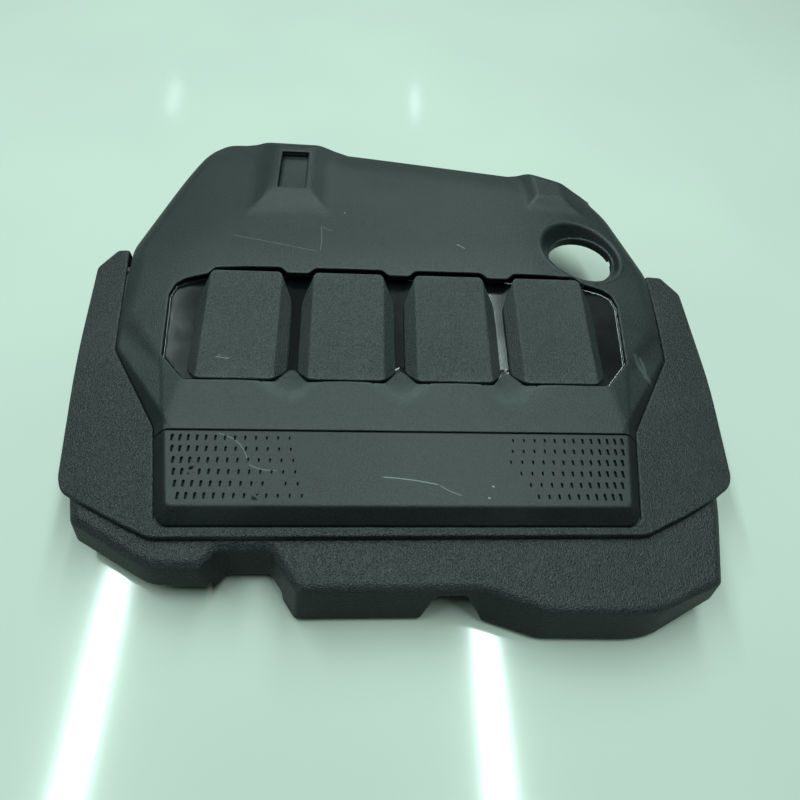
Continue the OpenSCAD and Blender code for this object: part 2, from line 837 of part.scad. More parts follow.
module pad(i) {
  x = pad_x[i];
  rise = recess - pad_sink - wall;
  color("DimGray") {
    difference() {
      union() {
        difference() {
          pad_form(x, 0);
          pad_form(x, wall);
        }
        difference() {
          intersection() {
            pad_form(x, wall - root);
            union() {
              for (e = [-15, 15]) translate([x + e - rib_t / 2, -60, 30]) cube([rib_t, 120, 90]);
              for (y = pad_pin_y) translate([x - 40, y - rib_t / 2, 30]) cube([80, rib_t, 90]);
            }
          }
          under([0, -deck_y, deck_z], [0, ramp], recess - 2 * rib_gap);
        }
      }
      under([0, -deck_y, deck_z], [0, ramp], recess);
    }
    at_pad_pins(x, recess) {
      pin(liner);
      cylinder(r = pin_r + 1.8, h = rise + root);
    }
  }
}

module socket(i) {
  p = sockets[i];
  mouth = 4;
  ball_z = mouth + sqrt(ball_r * ball_r - mouth_r * mouth_r);
  color("Black") translate([p[0], p[1], 0]) difference() {
    union() {
      cylinder(r = socket_r + 3, h = cup_low);
      cylinder(r = socket_r, h = socket_h);
      translate([0, 0, bead_z]) cylinder(r = socket_r + bead, h = 2);
    }
    translate([0, 0, -1]) cylinder(r = mouth_r, h = mouth + 2);
    translate([0, 0, ball_z]) sphere(r = ball_r, $fn = 64);
    translate([0, 0, ball_z]) cylinder(r = 2.5, h = ball_r + 3);
  }
}

module acoustic_mat() {
  plan = [[-205, 80], [120, 80], [128, 120], [124, 158], [120, 192], [-180, 222], [-200, 190],
    [-218, 130]];
  color("DimGray") difference() {
    intersection() {
      prism(plan, 40, 120);
      for_all_under(deck_planes, wall + rib_depth);
    }
    for_all_under(deck_planes, wall + rib_depth + foam_t);
    for (p = [hump_l, hump_r]) translate([p[0], p[1], 0]) cylinder(r = 24, h = 120);
    translate([filler_x, filler_y, 0]) cylinder(r = funnel_r + wall + 4, h = 200, $fn = 96);
    at_mat_pins(wall + rib_depth) hole(foam_t);
  }
}

module frame_push_nuts() {
  color("Silver") at_frame_pins(cover_floor) nut(pin_r + nut_fit);
}

module skirt_push_nuts() {
  color("Silver") at_skirt_pins(cover_floor - flange_t) nut(pin_r + nut_fit);
}

module panel_push_nuts() {
  color("Silver") at_panel_pins(panel_top - seam_gap - 2 * wall) nut(pin_r + nut_fit);
}

module insert_push_nuts() {
  color("Silver") at_insert_pins(wall + liner) nut(pin_r + nut_fit);
}

module pad_push_nuts() {
  color("Silver") for (x = pad_x) at_pad_pins(x, recess + liner) nut(pin_r + nut_fit);
}

module mat_push_nuts() {
  color("Silver") at_mat_pins(wall + rib_depth + foam_t) nut(pin_r + nut_fit);
}

// The datum line is moved so that the footprint is centred
front_edge = 238.3;
shift = (front_edge - rear_y - 2.4) / 2;

translate([0, shift, 0]) {
  main_cover();
  side_frame();
  front_skirt();
  perforated_panel();
  gloss_insert();
  pad(0);  // pad_1
  pad(1);  // pad_2
  pad(2);  // pad_3
  pad(3);  // pad_4
  socket(0);  // socket_front_left
  socket(1);  // socket_front_right
  socket(2);  // socket_rear_left
  socket(3);  // socket_rear_right
  acoustic_mat();
  frame_push_nuts();
  skirt_push_nuts();
  panel_push_nuts();
  insert_push_nuts();
  pad_push_nuts();
  mat_push_nuts();
}
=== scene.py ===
import functools
import math

import bmesh
import bpy
import numpy as np
from mathutils import Matrix, Vector


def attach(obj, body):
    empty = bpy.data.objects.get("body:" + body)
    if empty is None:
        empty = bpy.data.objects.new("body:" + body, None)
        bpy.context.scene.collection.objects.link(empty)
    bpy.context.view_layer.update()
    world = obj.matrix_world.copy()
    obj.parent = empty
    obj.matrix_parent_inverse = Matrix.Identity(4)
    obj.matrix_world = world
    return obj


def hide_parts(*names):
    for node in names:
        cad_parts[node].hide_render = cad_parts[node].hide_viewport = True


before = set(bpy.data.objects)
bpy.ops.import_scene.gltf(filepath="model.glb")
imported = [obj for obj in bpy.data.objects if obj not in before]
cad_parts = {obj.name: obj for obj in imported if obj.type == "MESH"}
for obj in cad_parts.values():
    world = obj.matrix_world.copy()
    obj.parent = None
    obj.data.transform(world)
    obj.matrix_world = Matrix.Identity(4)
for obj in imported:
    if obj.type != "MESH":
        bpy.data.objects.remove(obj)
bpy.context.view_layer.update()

# Sizes in millimetres, measured from the datum line that the mouldings are laid out on
WALL = 2.5
SEAM = 0.6
FLANGE = 2.5
RIB = 1.8
RIB_DEPTH = 7
RIB_GAP = 0.3
ENDLESS = -1e3
DECK_RIBS_X, DECK_RIBS_Y = (-190, -150, -60, -20, 20, 60, 100, 190), (76, 112, 150, 205)
PANEL_RIBS_X, PANEL_RIBS_Y = (22, 66, 90, 132), (-140, -118)
FRAME_RIBS_Y = (-100, -60, -20, 20, 56)
SKIRT_RIBS_X = (-160, -60, 0, 76, 130, 170, 205)
ROOT = 0.4
LINER = 2
HALF_WIDTH = 276.5
NOSE_HALF = 175.5
BEND_HALF = 236
NOSE_Y = 170.5
REAR_Y = 252
NOSE_LEAN = 0.83
DECK_LEAN = 0.25
FLANGE_TOP = 54.5
FLANGE_BACK = 84
FRAME_TOP = FLANGE_TOP + FLANGE
FLOOR_Z = FLANGE_TOP - FLANGE
PANEL_TOP = FRAME_TOP + 12
RIDGE_Z = FRAME_TOP + 15.2
DECK_Z = RIDGE_Z + 1.9
RAMP = 0.12
FALL = 0.035
LIP_DROP = 5
SEAM_Y = 99
RIDGE_Y = 59
BAND_RUN = 3.5
DECK_Y = RIDGE_Y - BAND_RUN
CREST_Y = 70
CREST_Z = DECK_Z + RAMP * (CREST_Y + DECK_Y)
BROW_SLOPE = (15.2 - 12) / (SEAM_Y - RIDGE_Y)
CROWN_X = (140, 190)
CROWN_SLOPE = (0.12, 0.25)
CROWN_DROP = (0, CROWN_SLOPE[0] * (CROWN_X[1] - CROWN_X[0]))
PAD_PITCH = 88
PAD_W = 80
PAD_FLAT = 61
PAD_LEN = 106
PAD_X = [(i - 1.5) * PAD_PITCH for i in range(4)]
PAD_PIN_Y = (-26, 26)
RECESS = 12
PAD_SINK = 1.2
DENT_LEN = 30
DENTS, DENT_Y = (-PAD_PITCH, 0, PAD_PITCH), -55
FILLER = (177, 94)
FILLER_R = 30.5
FUNNEL_R = 39.5
FUNNEL_DEPTH = 13
COLLAR_DEPTH = 22
SLOT_DEPTH = 7
SKIRT_CLEAR = 5
SKIRT_FRONT = -178
SKIRT_RAMP_X, SKIRT_RAMP = 189, 0.43
SHOULDER_Z = 49
PIN_R = 2.2
PIN_PLAY = 0.2
HOLE_R = PIN_R + PIN_PLAY
NUT_R = 5
NUT_T = 0.8
PIN_TIP = NUT_T + 1.5
FOAM_T = 10
SOCKET_R = 11
SOCKET_H = 18
SOCKET_PLAY = 0.15
SHIFT = (238.3 - REAR_Y - 2.4) / 2
MM = 0.001
COARSE = 1


# ---- plan geometry ----

def unit(v):
    v = np.asarray(v, float)
    return v / np.linalg.norm(v)


def mirrored(half):
    return [tuple(p) for p in half] + [(-p[0], p[1]) for p in reversed(half)]


def inset(points, d):
    """An outline moved inwards by d, where inwards is to the left of its edges."""
    pts = [np.asarray(p, float) for p in points]
    out = []
    for i, b in enumerate(pts):
        u, v = unit(b - pts[i - 1]), unit(pts[(i + 1) % len(pts)] - b)
        n, m = np.array((-u[1], u[0])), np.array((-v[1], v[0]))
        out.append(tuple(b + (n + m) * d / (1 + n @ m)))
    return out


def softened(points, radius, sharpest=18, arc=5):
    """An outline with its corners rounded to a radius, less where an edge is short."""
    pts = [np.asarray(p, float) for p in points]
    out = []
    for i, b in enumerate(pts):
        a, c = pts[i - 1], pts[(i + 1) % len(pts)]
        u, v = unit(b - a), unit(c - b)
        turn = math.acos(max(-1, min(1, float(u @ v))))
        room = 0.45 * min(np.linalg.norm(b - a), np.linalg.norm(c - b))
        if math.degrees(turn) < sharpest:
            out.append(tuple(b))
            continue
        cut = min(radius * math.tan(turn / 2), room)
        p, q = b - u * cut, b + v * cut
        for k in range(arc):
            t = k / (arc - 1)
            out.append(tuple((1 - t) ** 2 * p + 2 * t * (1 - t) * b + t * t * q))
    return out


def beside(a, b, t, d):
    a, b = np.asarray(a, float), np.asarray(b, float)
    u = unit(b - a)
    p = a + (b - a) * t
    return (p[0] + u[1] * d, p[1] - u[0] * d)


def deck_height(x, y):
    crown = CROWN_SLOPE[0] * max(0, abs(x) - CROWN_X[0])
    crown += (CROWN_SLOPE[1] - CROWN_SLOPE[0]) * max(0, abs(x) - CROWN_X[1])
    return min(DECK_Z + RAMP * (y + DECK_Y), CREST_Z - FALL * (y - CREST_Y)) - crown


# ---- fields: negative inside, in millimetres ----

def plane(at, slope):
    n = 1 / math.sqrt(1 + slope[0] ** 2 + slope[1] ** 2)
    a, b = -slope[0] * n, -slope[1] * n
    return (a, b, n, -(a * at[0] + b * at[1] + n * at[2]))


def edges_of(points, first=0, last=None):
    """The start and the direction of each edge."""
    pts = [np.asarray(p, float) for p in points]
    for i in range(first, len(pts) if last is None else last + 1):
        yield pts[i], unit(pts[(i + 1) % len(pts)] - pts[i])


def walls(points, z, lean, first=0, last=None):
    """Planes on an outline's edges at a height, lean being run for each unit of height."""
    return [plane((a[0], a[1], z), (-u[1] / lean, u[0] / lean))
            for a, u in edges_of(points, first, last)]


def upright(points, first=0, last=None):
    return [(u[1], -u[0], 0.0, -(u[1] * a[0] - u[0] * a[1]))
            for a, u in edges_of(points, first, last)]


def far(pl, p):
    f = np.full(p[0].shape, pl[3], np.float32)
    for k, v in zip(pl, p):
        if k:
            f += np.float32(k) * v
    return f


def off(p, at):
    """Distance in plan from a place."""
    return np.hypot(p[0] - at[0], p[1] - at[1])


def both(a, b, k=0.0):
    """The common part of two fields, its edge rounded over about k."""
    if not k:
        return np.maximum(a, b)
    h = np.maximum(k - np.abs(a - b), 0)
    return np.maximum(a, b) + h * h * (0.25 / k)


def either(a, b, k=0.0):
    return -both(-a, -b, k)


def less(a, b, k=0.0):
    return both(a, -b, k)


def block(planes, p, k=0.0):
    f = far(planes[0], p)
    for pl in planes[1:]:
        f = both(f, far(pl, p), k)
    return f


class Outline:
    """Signed distance to a closed outline in plan, kept as a table."""

    def __init__(self, points, radius=0.0, pitch=0.5, margin=14):
        pts = np.array(softened(points, radius) if radius else points, float)
        self.pitch, self.low = pitch, pts.min(0) - margin
        n = np.ceil((pts.max(0) + margin - self.low) / pitch).astype(int) + 1
        x = (self.low[0] + pitch * np.arange(n[0]))[:, None]
        y = (self.low[1] + pitch * np.arange(n[1]))[None, :]
        best = np.full((n[0], n[1]), 1e9)
        odd = np.zeros((n[0], n[1]), bool)
        for a, b in zip(pts, np.roll(pts, -1, 0)):
            e = b - a
            t = np.clip(((x - a[0]) * e[0] + (y - a[1]) * e[1]) / (e @ e), 0, 1)
            best = np.minimum(best, (x - a[0] - t * e[0]) ** 2 + (y - a[1] - t * e[1]) ** 2)
            if a[1] != b[1]:
                cross = a[0] + (y - a[1]) * e[0] / e[1]
                odd ^= ((a[1] > y) != (b[1] > y)) & (x < cross)
        self.table = (np.sqrt(best) * np.where(odd, -1, 1)).astype(np.float32)

    def __call__(self, p):
        u = np.clip((p[0] - self.low[0]) / self.pitch, 0, self.table.shape[0] - 1.001)
        v = np.clip((p[1] - self.low[1]) / self.pitch, 0, self.table.shape[1] - 1.001)
        i, j = u.astype(int), v.astype(int)
        u, v = (u - i).astype(np.float32), (v - j).astype(np.float32)
        t = self.table
        return ((t[i, j] * (1 - u) + t[i + 1, j] * u) * (1 - v)
                + (t[i, j + 1] * (1 - u) + t[i + 1, j + 1] * u) * v)


def post(at, slope, r, low, high, p):
    """A round post on a tilted seat, from low to high along its own axis."""
    n = 1 / math.sqrt(1 + slope[0] ** 2 + slope[1] ** 2)
    a = (-slope[0] * n, -slope[1] * n, n)
    x, y, z = p[0] - at[0], p[1] - at[1], p[2] - at[2]
    h = x * a[0] + y * a[1] + z * a[2]
    rho = np.sqrt(np.maximum(x * x + y * y + z * z - h * h, 0))
    return np.maximum(rho - r, np.maximum(h - high, low - h))


def ribs_at(*rows):
    """Flat ribs, each row being the value that they cross, their places and a limit."""
    return functools.reduce(np.minimum, [
        np.maximum(np.abs(v - at) - RIB / 2, limit) for v, places, limit in rows for at in places])


def patch(f, p, at, reach, change):
    """Runs change(f, p) only on the points within reach of a place in plan."""
    near = np.nonzero((np.abs(p[0] - at[0]) < reach) & (np.abs(p[1] - at[1]) < reach))[0]
    if len(near):
        f[near] = change(f[near], (p[0][near], p[1][near], p[2][near]))
    return f


# ---- from a field to a mesh ----

def sampled(field, axes, stride=4):
    """The field on a grid, worked out only in the blocks that the surface crosses."""
    n = [len(a) for a in axes]
    blocks = [int(math.ceil(m / stride)) for m in n]
    step = axes[0][1] - axes[0][0]
    mid = [axes[i][0] + step * (stride * np.arange(blocks[i]) + (stride - 1) / 2) for i in range(3)]
    grid = [g.ravel().astype(np.float32) for g in np.meshgrid(*mid, indexing="ij")]
    coarse = in_parts(field, grid).reshape(blocks)
    wanted = np.abs(coarse) < stride * step * 0.5 * math.sqrt(3) * 1.25
    for axis in range(3):
        coarse = np.repeat(coarse, stride, axis)
        wanted = np.repeat(wanted, stride, axis)
    cut = tuple(slice(0, m) for m in n)
    values, wanted = coarse[cut].copy(), wanted[cut]
    at = np.nonzero(wanted)
    values[at] = in_parts(field, [axes[i][at[i]].astype(np.float32) for i in range(3)])
    return values


def in_parts(field, p, size=200000):
    out = np.empty(len(p[0]), np.float32)
    for i in range(0, len(out), size):
        out[i:i + size] = field([v[i:i + size] for v in p])
    return out


def slope_of(field, v, h=0.04):
    g = np.empty_like(v)
    p = [v[:, i].astype(np.float64) for i in range(3)]
    for i in range(3):
        q = list(p)
        q[i] = p[i] + h
        one = field(q)
        q[i] = p[i] - h
        g[:, i] = (one - field(q)) / (2 * h)
    return g


def settled(field, v, step, rounds=3):
    """Vertices moved on to the surface of the field."""
    for _ in range(rounds):
        f = field([v[:, i] for i in range(3)])
        g = slope_of(field, v)
        move = g * (f / np.maximum((g * g).sum(1), 0.2))[:, None]
        size = np.linalg.norm(move, axis=1)
        move *= np.minimum(1, 0.4 * step / np.maximum(size, 1e-9))[:, None]
        v = v - move
    return v


def skin(field, low, high, step):
    """A quad mesh on the surface of a field."""
    axes = [np.arange(low[i] - 1.5 * step, high[i] + 2.5 * step, step) for i in range(3)]
    f = sampled(field, axes)
    solid = f < 0
    shape = np.array(f.shape) - 1
    edges = []
    for a in range(3):
        s, t = [slice(None)] * 3, [slice(None)] * 3
        s[a], t[a] = slice(0, -1), slice(1, None)
        s, t = tuple(s), tuple(t)
        at = np.array(np.nonzero(solid[s] != solid[t]))
        f0 = f[tuple(at)]
        to = at.copy()
        to[a] += 1
        w = f0 / (f0 - f[tuple(to)])
        place = np.array([axes[i][at[i]] + (w * step if i == a else 0) for i in range(3)])
        edges.append((a, at, place, solid[tuple(at)]))
    n = int(np.prod(shape))
    total = np.zeros((3, n))
    count = np.zeros(n)
    corners = []
    for a, at, place, inside in edges:
        b, c = (a + 1) % 3, (a + 2) % 3
        four = []
        for db, dc in ((-1, -1), (0, -1), (0, 0), (-1, 0)):
            cell = at.copy()
            cell[b] += db
            cell[c] += dc
            flat = np.ravel_multi_index(tuple(cell), tuple(shape))
            four.append(flat)
            count += np.bincount(flat, minlength=n)
            for i in range(3):
                total[i] += np.bincount(flat, weights=place[i], minlength=n)
        four = np.array(four)
        four[:, ~inside] = four[::-1, ~inside]
        corners.append(four)
    used = np.nonzero(count)[0]
    place = (total[:, used] / count[used]).T
    remap = np.full(n, -1, np.int64)
    remap[used] = np.arange(len(used))
    faces = remap[np.concatenate(corners, 1)].T
    return settled(field, place, step), faces


def in_metres(places):
    """Datum millimetres as metres in the shared frame."""
    v = np.array(places, float) * MM
    v[:, 1] += SHIFT * MM
    return v


def linked(name, data):
    obj = bpy.data.objects.new(name, data)
    bpy.context.scene.collection.objects.link(obj)
    return obj


def store(mesh, name, values, kind="FLOAT"):
    """Keeps a value on each point of a mesh, in place of any of that name."""
    if name in mesh.attributes:
        mesh.attributes.remove(mesh.attributes[name])
    kept = mesh.attributes.new(name, kind, "POINT")
    kept.data.foreach_set("vector" if kind == "FLOAT_VECTOR" else "value",
                          np.asarray(values, np.float32).ravel())


def point_object(name, places, attribute, vectors):
    mesh = bpy.data.meshes.new(name)
    mesh.from_pydata([tuple(p) for p in in_metres(places)], [], [])
    store(mesh, attribute, vectors, "FLOAT_VECTOR")
    return linked(name, mesh)


def as_object(name, place, faces):
    mesh = bpy.data.meshes.new(name)
    v, k = in_metres(place), faces.shape[1]
    mesh.vertices.add(len(v))
    mesh.vertices.foreach_set("co", v.astype(np.float32).ravel())
    mesh.loops.add(len(faces) * k)
    mesh.loops.foreach_set("vertex_index", faces.astype(np.int32).ravel())
    mesh.polygons.add(len(faces))
    mesh.polygons.foreach_set("loop_start", np.arange(0, len(faces) * k, k, dtype=np.int32))
    mesh.update(calc_edges=True)
    mesh.validate()
    return linked(name, mesh)


def evaluated(obj, name):
    """The object as its modifiers leave it, as a plain mesh that replaces it."""
    graph = bpy.context.evaluated_depsgraph_get()
    graph.update()
    mesh = bpy.data.meshes.new_from_object(obj.evaluated_get(graph), depsgraph=graph)
    bpy.data.objects.remove(obj)
    mesh.name = name
    return linked(name, mesh)


def thinned(obj, most):
    triangles = sum(len(p.vertices) - 2 for p in obj.data.polygons)
    if triangles <= most:
        return obj
    name = obj.name
    lighter = obj.modifiers.new("lighter", "DECIMATE")
    lighter.ratio = most / triangles
    return evaluated(obj, name)


def points_of(mesh):
    v = np.empty(len(mesh.vertices) * 3, np.float32)
    mesh.vertices.foreach_get("co", v)
    v = v.reshape(-1, 3).astype(np.float64) / MM
    v[:, 1] -= SHIFT
    return v


def normals_of(field, v):
    g = slope_of(field, v)
    return g / np.maximum(np.linalg.norm(g, axis=1), 1e-6)[:, None]


RIM_REACH = 1.2


def finish_surface(obj, field, step):
    """Settles a mesh on its field, with its normals, its rise and how sharply each place bends."""
    mesh = obj.data
    v = settled(field, points_of(mesh), step, 2)
    mesh.vertices.foreach_set("co", in_metres(v).astype(np.float32).ravel())
    g = normals_of(field, v)
    bend = -6 * field([v[:, i] for i in range(3)])
    for i in range(3):
        for s in (-RIM_REACH, RIM_REACH):
            bend = bend + field([v[:, j] + (s if j == i else 0) for j in range(3)])
    store(mesh, "rim", np.clip(bend / RIM_REACH, 0, 1))
    store(mesh, "rise", g[:, 2])
    mesh.polygons.foreach_set("use_smooth", np.ones(len(mesh.polygons), bool))
    mesh.update()
    mesh.normals_split_custom_set_from_vertices(g.astype(np.float32))
    return obj


def moulded(name, field, low, high, step, most):
    """A moulding made from its field: a fine skin, thinned, settled and smoothly shaded."""
    step *= COARSE
    obj = thinned(as_object(name, *skin(field, low, high, step)), most)
    return finish_surface(obj, field, step)


# ---- the forms of the mouldings ----

nose = mirrored([(NOSE_HALF, -NOSE_Y), (NOSE_HALF + 15, -90), (BEND_HALF, -15),
                 (BEND_HALF + 4, 40)])
nose_edge = np.array((NOSE_HALF + 0.2, 6 - NOSE_Y))
nose_front = mirrored([(NOSE_HALF - 6, -NOSE_Y), tuple(nose_edge),
                       tuple(nose_edge + (np.array(nose[1]) - nose_edge) * 2.7)])
nose_rear = mirrored([tuple(2 * np.array(nose[1]) - np.array(nose[2])), nose[2], nose[3]])

DECK_REF = FRAME_TOP + 13
deck_line = [
    (NOSE_HALF + 10.5, 5 - NOSE_Y / 2.48), (BEND_HALF - 7, -16), (BEND_HALF + 0.5, 23),
    (BEND_HALF + 3.8, 82), (BEND_HALF - 1.5, 100), (216.5, 158.5), (191.5, REAR_Y - 65),
    (136.4, REAR_Y - 44), (-4.7, REAR_Y - 21.8), (-65.8, REAR_Y - 13), (-174.2, REAR_Y - 2),
    (-187.5, REAR_Y - 9.4), (-195.2, REAR_Y - 17.8), (-208.8, REAR_Y - 46), (0.5 - BEND_HALF, 124),
    (-BEND_HALF - 6.3, 101), (-BEND_HALF - 0.5, 23), (7 - BEND_HALF, -16),
    (-NOSE_HALF - 10.5, 5 - NOSE_Y / 2.48)]


def lip_plane(a, b):
    a, b = np.array(a), np.array(b)
    u = unit(b - a)
    n = np.array((-u[1], u[0]))
    w = 20 if n[1] < -0.7 else 8
    m = (a + b) / 2
    p = m + n * w
    rise = deck_height(*(b + n * w)) - deck_height(*(a + n * w))
    across = (deck_height(*p) - deck_height(*m) + LIP_DROP) / w
    return plane((p[0], p[1], deck_height(*p)), u * rise / np.linalg.norm(b - a) + n * across)


band_plane = plane((0, -RIDGE_Y, RIDGE_Z), (0, 1.9 / BAND_RUN))
deck_top = [plane((0, -DECK_Y, DECK_Z), (0, RAMP)), plane((0, CREST_Y, CREST_Z), (0, -FALL))]
for y, z, slope in ((-DECK_Y, DECK_Z, RAMP), (CREST_Y, CREST_Z, -FALL)):
    for i in (0, 1):
        for side in (-1, 1):
            deck_top.append(plane((side * CROWN_X[i], y, z - CROWN_DROP[i]),
                                  (-side * CROWN_SLOPE[i], slope)))
deck_lip = [lip_plane(deck_line[i], deck_line[i + 1]) for i in range(2, len(deck_line) - 3)]
deck_front = [band_plane] + [plane((side * 171, -RIDGE_Y, RIDGE_Z), (-side * 0.478, 0.3))
                             for side in (-1, 1)]
deck_walls = walls(deck_line, DECK_REF, DECK_LEAN)
brow_top = [plane((0, -SEAM_Y, PANEL_TOP), (0, BROW_SLOPE)),
            *(plane((side * 182, -92, PANEL_TOP - 0.5), (-side * 0.2318, 0.0392))
              for side in (1, -1))]
HUMP_L, HUMP_R = (-101, 188), (153, 178)
hump_l = [plane((HUMP_L[0], 156, deck_height(0, 156) + 8), (0, -FALL)),
          plane((HUMP_L[0], 132, deck_height(0, 132)), (0, 0.313)),
          plane((-137, 150, deck_height(0, 150)), (0.47, -FALL)),
          plane((-66, 150, deck_height(0, 150)), (-0.42, -FALL)),
          plane((HUMP_L[0], REAR_Y - 24, deck_height(0, REAR_Y - 24) + 8), (0, -0.5))]
hump_r = [plane((HUMP_R[0], 163, deck_height(HUMP_R[0], 163) + 6), (-0.08, -FALL)),
          plane((HUMP_R[0], 152, deck_height(HUMP_R[0], 152)), (-0.08, 0.52)),
          plane((131, 180, deck_height(131, 180)), (0.6, -FALL)),
          plane((185, 180, deck_height(185, 180)), (-0.52, -FALL)),
          plane((HUMP_R[0], 196, deck_height(HUMP_R[0], 196) + 5), (-0.2, -0.5))]
SOCKETS = [(-150, -132), (150, -132), HUMP_L, HUMP_R]

gap = (PAD_PITCH - PAD_W) / 2
tongue_tip, tongue_root, TIP_Y, OPEN_END = gap - 1.5, gap + 9, 41, 2 * PAD_PITCH + 17
opening = Outline(mirrored([
    (tongue_tip, -TIP_Y), (tongue_root, -DECK_Y), (PAD_PITCH - tongue_root, -DECK_Y),
    (PAD_PITCH - tongue_tip, -TIP_Y), (PAD_PITCH + tongue_tip, -TIP_Y),
    (PAD_PITCH + tongue_root, -DECK_Y), (OPEN_END - 22, -DECK_Y),
    (OPEN_END, -29), (OPEN_END + 3.5, 31), (OPEN_END, 41), (OPEN_END - 8, 46), (OPEN_END - 28, 50),
    (OPEN_END - 33, 56), (PAD_PITCH + 15, 56), (PAD_PITCH + 9, 50), (PAD_PITCH - 9, 50),
    (PAD_PITCH - 15, 56), (15, 56), (9, 50)]), 5)
basin = mirrored([
    (OPEN_END - 22, -DECK_Y), (OPEN_END, -29), (OPEN_END + 3.5, 31), (OPEN_END, 41),
    (OPEN_END - 8, 46), (OPEN_END - 28, 52), (OPEN_END - 33, 56)])
flange_line = nose[:3] + [(BEND_HALF + 7, FLANGE_BACK), (-BEND_HALF - 7, FLANGE_BACK)] + nose[5:]
frame_line = [
    (-178, -181), (179, -179.5), (222, -160), (255.5, -139), (261, -130),
    (HALF_WIDTH - 4, -40), (HALF_WIDTH, 68),
    (262, 91), (246, 92), (-252, 107), (-262, 106),
    (-HALF_WIDTH, 82), (9 - HALF_WIDTH, -27), (-252, -135), (-246.5, -145), (-212, -165)]
frame_nose = inset(mirrored([nose_front[0], tuple(nose_edge), nose[1], nose[2], nose[3]]), -SEAM)
frame_hole = frame_nose[:4] + [
    (BEND_HALF + 5.5, 26), (BEND_HALF + 10.5, 92), (BEND_HALF + 14, 140), (-BEND_HALF - 20, 140),
    (-BEND_HALF - 15, 106), (-BEND_HALF - 5.5, 26)] + frame_nose[6:]
frame_pins = mirrored([
    beside(nose[0], nose[1], 0.36, 6), beside(nose[1], nose[2], 0.25, 6),
    beside(nose[1], nose[2], 0.82, 6), (BEND_HALF + 11.7, 30), (BEND_HALF + 13, 76)])
skirt_pins = [(x, 2 - NOSE_Y) for x in (-150, -50, 50, 150)]
panel_pins = mirrored([(40, -130), (110, -110), (110, -150)])
insert_pins = (
    [((x, -65, PANEL_TOP + BROW_SLOPE * (SEAM_Y - 65)), (0, BROW_SLOPE))
     for x in (-132, -44, 44, 132)]
    + [((x, 64.5, DECK_Z + RAMP * (64.5 + DECK_Y)), (0, RAMP)) for x in (-132, -44, 44, 132)]
    + [((s * (OPEN_END + 13.5), 0, deck_height(OPEN_END + 13.5, 0)), (-s * CROWN_SLOPE[1], RAMP))
       for s in (-1, 1)])
mat_pins = [((x, y, CREST_Z - FALL * (y - CREST_Y)), (0, -FALL)) for x, y in (
    (-122, 98), (-40, 95), (45, 95), (-35, 195), (60, 182), (112, 128))]
pad_pins = [[((x, y, DECK_Z + RAMP * (y + DECK_Y)), (0, RAMP)) for y in PAD_PIN_Y] for x in PAD_X]


def at_seats(change, k, f, p, seats, depth, low, high, r):
    """Changes a field by a post on each tilted seat, measured from a depth under the seat."""
    for (x, y, z), slope in seats:
        f = patch(f, p, (x, y), r + 22, lambda g, q: change(
            g, post((x, y, z), slope, r, low - depth, high - depth, q), k))
    return f


def pins_on(*values):
    return at_seats(either, 0.4, *values)


def holes_in(*values):
    return at_seats(less, 0.3, *values)


def level(places, z):
    return [((x, y, z), (0, 0)) for x, y in places]


def deck_skin(p):
    top = block(deck_top, p, 4)
    lip = block(deck_lip, p, 3)
    return top, both(top, lip, 4)


def deck_form(p):
    crown, top = deck_skin(p)
    f = both(top, block(deck_walls, p, 3), 2)
    return crown, both(f, block(deck_front, p, 0.8), 1)


panel_face = [plane((0, 0, PANEL_TOP), (0, 0))]
front_walls = walls(nose_front, FRAME_TOP, NOSE_LEAN)
rear_walls = walls(nose_rear, FRAME_TOP, NOSE_LEAN)
front_foot, rear_foot = upright(nose_front), upright(nose_rear)


def nose_body(p, sides, foot, top, k=1.2):
    f = both(block(sides, p, 2), block(top, p, 1), k)
    return both(f, block(foot, p, 2), 0.8)


def brow_form(p):
    front = nose_body(p, front_walls, front_foot, brow_top)
    rear = nose_body(p, rear_walls, rear_foot, brow_top)
    return either(front, rear, 2)


def hump_form(p, planes, first, last):
    return both(block(planes, p, 2), block(deck_walls[first:last + 1], p, 2), 2)


def cover_form(p):
    crown, deck = deck_form(p)
    f = either(deck, brow_form(p), 1.5)
    bumps = either(hump_form(p, hump_l, 9, 9), hump_form(p, hump_r, 6, 7))
    bumps = both(bumps, DECK_REF - p[2])
    return crown, either(f, bumps, 3)


def dent_field(p, x, s=0.0):
    """Above the two planes of a V that falls from the brow towards the gap between two pads."""
    y0 = -TIP_Y - DENT_LEN
    z0 = PANEL_TOP + BROW_SLOPE * (y0 + SEAM_Y) - s
    drop = (BROW_SLOPE * 36 - 7 * 36 / DENT_LEN) / 36
    rise = (BROW_SLOPE * 28 - drop * 28) / 32
    sides = [plane((x, y0, z0), (side * rise, drop)) for side in (-1, 1)]
    kite = [(x, y0), (x + 32, y0 + 28), (x, y0 + 36), (x - 32, y0 + 28)]
    return both(both(-far(sides[0], p), -far(sides[1], p), 4), block(upright(kite, 1, 2), p))


funnel_step = (FUNNEL_R - FILLER_R - 1.5) / FUNNEL_DEPTH
filler_top = deck_height(*FILLER)


def funnel(p, r, seat_r, seat_z):
    rho = off(p, FILLER)
    lean = 1 / math.hypot(1, funnel_step)
    cone = (rho - (seat_r + (p[2] - seat_z) * funnel_step)) * lean
    return either(rho - r, both(cone, seat_z - p[2]), 1.5), rho


